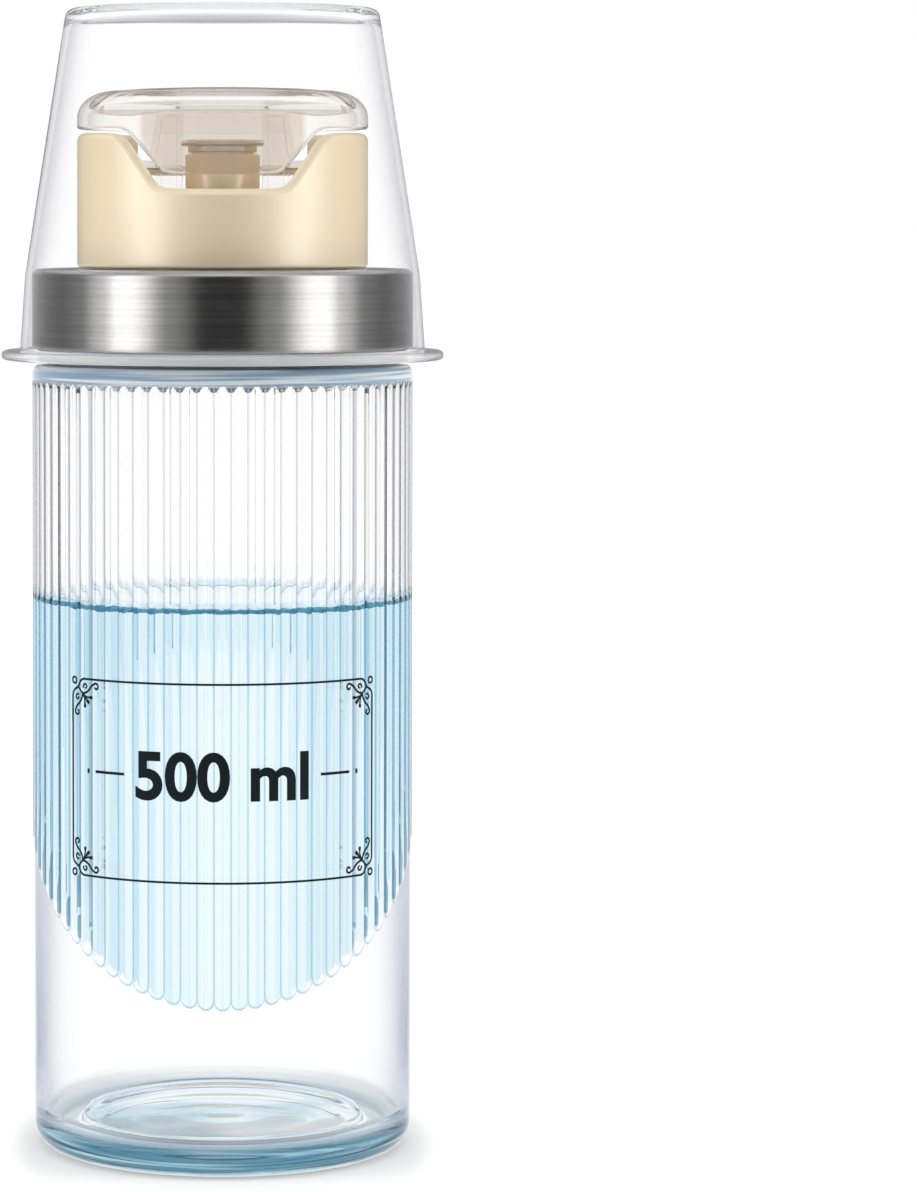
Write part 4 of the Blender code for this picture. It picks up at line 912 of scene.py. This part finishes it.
def floor_plane():
    """Plain floor just under the object."""
    bm = bmesh.new()
    bmesh.ops.create_grid(bm, x_segments=8, y_segments=8, size=40)
    mesh = bpy.data.meshes.new("floor")
    bm.to_mesh(mesh)
    bm.free()
    mesh.transform(Matrix.Translation((0, 0, -0.05 * MM)))
    mesh.materials.append(white_sweep())
    plane = bpy.data.objects.new("floor", mesh)
    bpy.context.scene.collection.objects.link(plane)


def soft_lamp(name, place, size, watts):
    """Soft box that looks at the bottle's upper half and isn't mirrored in it."""
    lamp = bpy.data.lights.new(name, "AREA")
    lamp.shape = "RECTANGLE"
    lamp.size, lamp.size_y = size
    lamp.energy = watts
    holder = bpy.data.objects.new(name, lamp)
    bpy.context.scene.collection.objects.link(holder)
    holder.location = place
    holder.rotation_euler = (Vector((0, 0, 0.12)) - Vector(place)).to_track_quat("-Z", "Y").to_euler()
    holder.visible_glossy = False
    holder.visible_transmission = False


def studio_lamps():
    """Two side boxes and one overhead."""
    soft_lamp("left_box", (-1.15, -0.2, 0.5), (0.5, 1.0), 9)
    soft_lamp("right_box", (1.15, -0.2, 0.5), (0.5, 1.0), 9)
    soft_lamp("top_box", (0, -0.1, 1.4), (1.2, 1.0), 5)


def photo_camera():
    """Camera at the photograph's angle, from a fit of the rings seen in it."""
    lens = bpy.data.cameras.new("camera")
    lens.lens, lens.sensor_width = 130.67, 36
    lens.shift_x, lens.shift_y = 0.198, -0.165
    lens.clip_start = 0.05
    holder = bpy.data.objects.new("camera", lens)
    bpy.context.scene.collection.objects.link(holder)
    holder.location = (0, -0.8525, 0.1838)
    holder.rotation_euler = (math.radians(90 - 2.455), 0, 0)
    bpy.context.scene.camera = holder


def light_paths():
    """Enough bounces for glass behind glass."""
    cycles = bpy.context.scene.cycles
    cycles.max_bounces = cycles.transmission_bounces = cycles.glossy_bounces = 64
    cycles.transparent_max_bounces = 24


# The dispenser
def dress_bottle():
    """Glass, liquid, gasket and print."""
    glass = pressed_soda_glass()
    add_piece("glass_bottle", bottle_glass(), glass, "bottle", ("bottle",), sharp=60)
    add_piece("liquid", liquid_fill(), blue_rinse(), "bottle", sharp=60)
    add_piece("liquid_rim", meniscus_ring(), rinse_edge(), "bottle", sharp=60)
    silicone = clear_plastic("clear_silicone", "#EEF2F4", "#C9D3D8", 60, 0.25)
    add_piece("gasket_ring", gasket_ring(), silicone, "bottle", ("shoulder_gasket",))
    ink = screen_ink()
    lines = flat_mesh(stroke_curve(label_strokes()))
    text = flat_mesh(figure_curve("500 ml", size=12.6), height=72.9)
    print_mesh = wrapped_ink([lines, text], BODY_R, 0.05 * MM)
    add_piece("label_print", print_mesh, ink, "bottle", sharp=60)


def dress_cap():
    """Steel band, cream housing and spout, and the parts under them."""
    steel = brushed_stainless()
    bright = turned_stainless()
    cream = moulded_plastic("satin_cream_pp", "#FAE7C3", "#F7E3BC", 0.38, 0.12, 1)
    liner = moulded_plastic("foam_liner", "#E8E8E4", "#DEDEDA", 0.7, 0.3)
    add_piece("band_shell", band_shell(), steel, "cap", ("steel_band",))
    add_piece("housing_shell", housing(), cream, "cap", ("spout_housing",), sharp=50)
    add_piece("nozzle_shell", nozzle_shell(), cream, "cap", ("spout_nozzle",))
    add_piece("tip_shell", tip_shell(), bright, "cap", ("spout_tip",))
    for node, material in (("inner_cap", cream), ("pour_insert", cream), ("neck_seal", liner),
                           ("nozzle_seal", liner), ("hinge_pin", bright), ("roller_pin", bright)):
        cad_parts[node].data.materials.clear()
        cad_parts[node].data.materials.append(material)


def dress_lid():
    """Smoky lid with its bracket, weight frame and rollers, and the clear cup."""
    # Painted shade: the lid's grey edge colour
    smoke = clear_plastic("smoky_san", "#FCFAF8", "#8E7D70", 8, 0, 1.2, tongue_shade, "#B5B1B1")
    deep_smoke = clear_plastic("deep_smoky_san", "#F1E9E0", "#8E7B6C", 30, 0.03)
    add_piece("lid_shell", lid_shell(), smoke, "lid", ("flip_lid",))
    # Painted shade: the lugs' dark edge colour
    clear_smoke = clear_plastic("clear_lug_san", "#FAF8F6", "#8E7D70", 8, 0, 1.5, edge="#8D8681")
    for side, name in ((-1, "lug_left"), (1, "lug_right")):
        add_piece(name, lug(side), clear_smoke, "lid", sharp=60)
    softened("lid_bracket", clear_smoke, "lid")
    for node, body in (("weight_frame", "weight_link"), ("counterweight", "weight_link"),
                       ("roller_left", "rollers"), ("roller_right", "rollers"),
                       ("pin_cap_left", "cap"), ("pin_cap_right", "cap")):
        softened(node, deep_smoke, body)
    # Painted shade: the cup's lilac-grey edge colour
    clear = clear_plastic("clear_ps", "#FFFFFF", "#A9AFB6", 6, 0.01, 1.25, flange_haze, "#DAD7DE")
    add_piece("cup_shell", cup_shell(), clear, "measuring_cup", ("measuring_cup",))


bpy.context.scene.view_settings.view_transform = "Standard"
photo_camera()
studio_surroundings()
floor_plane()
studio_lamps()
light_paths()
dress_bottle()
dress_cap()
dress_lid()
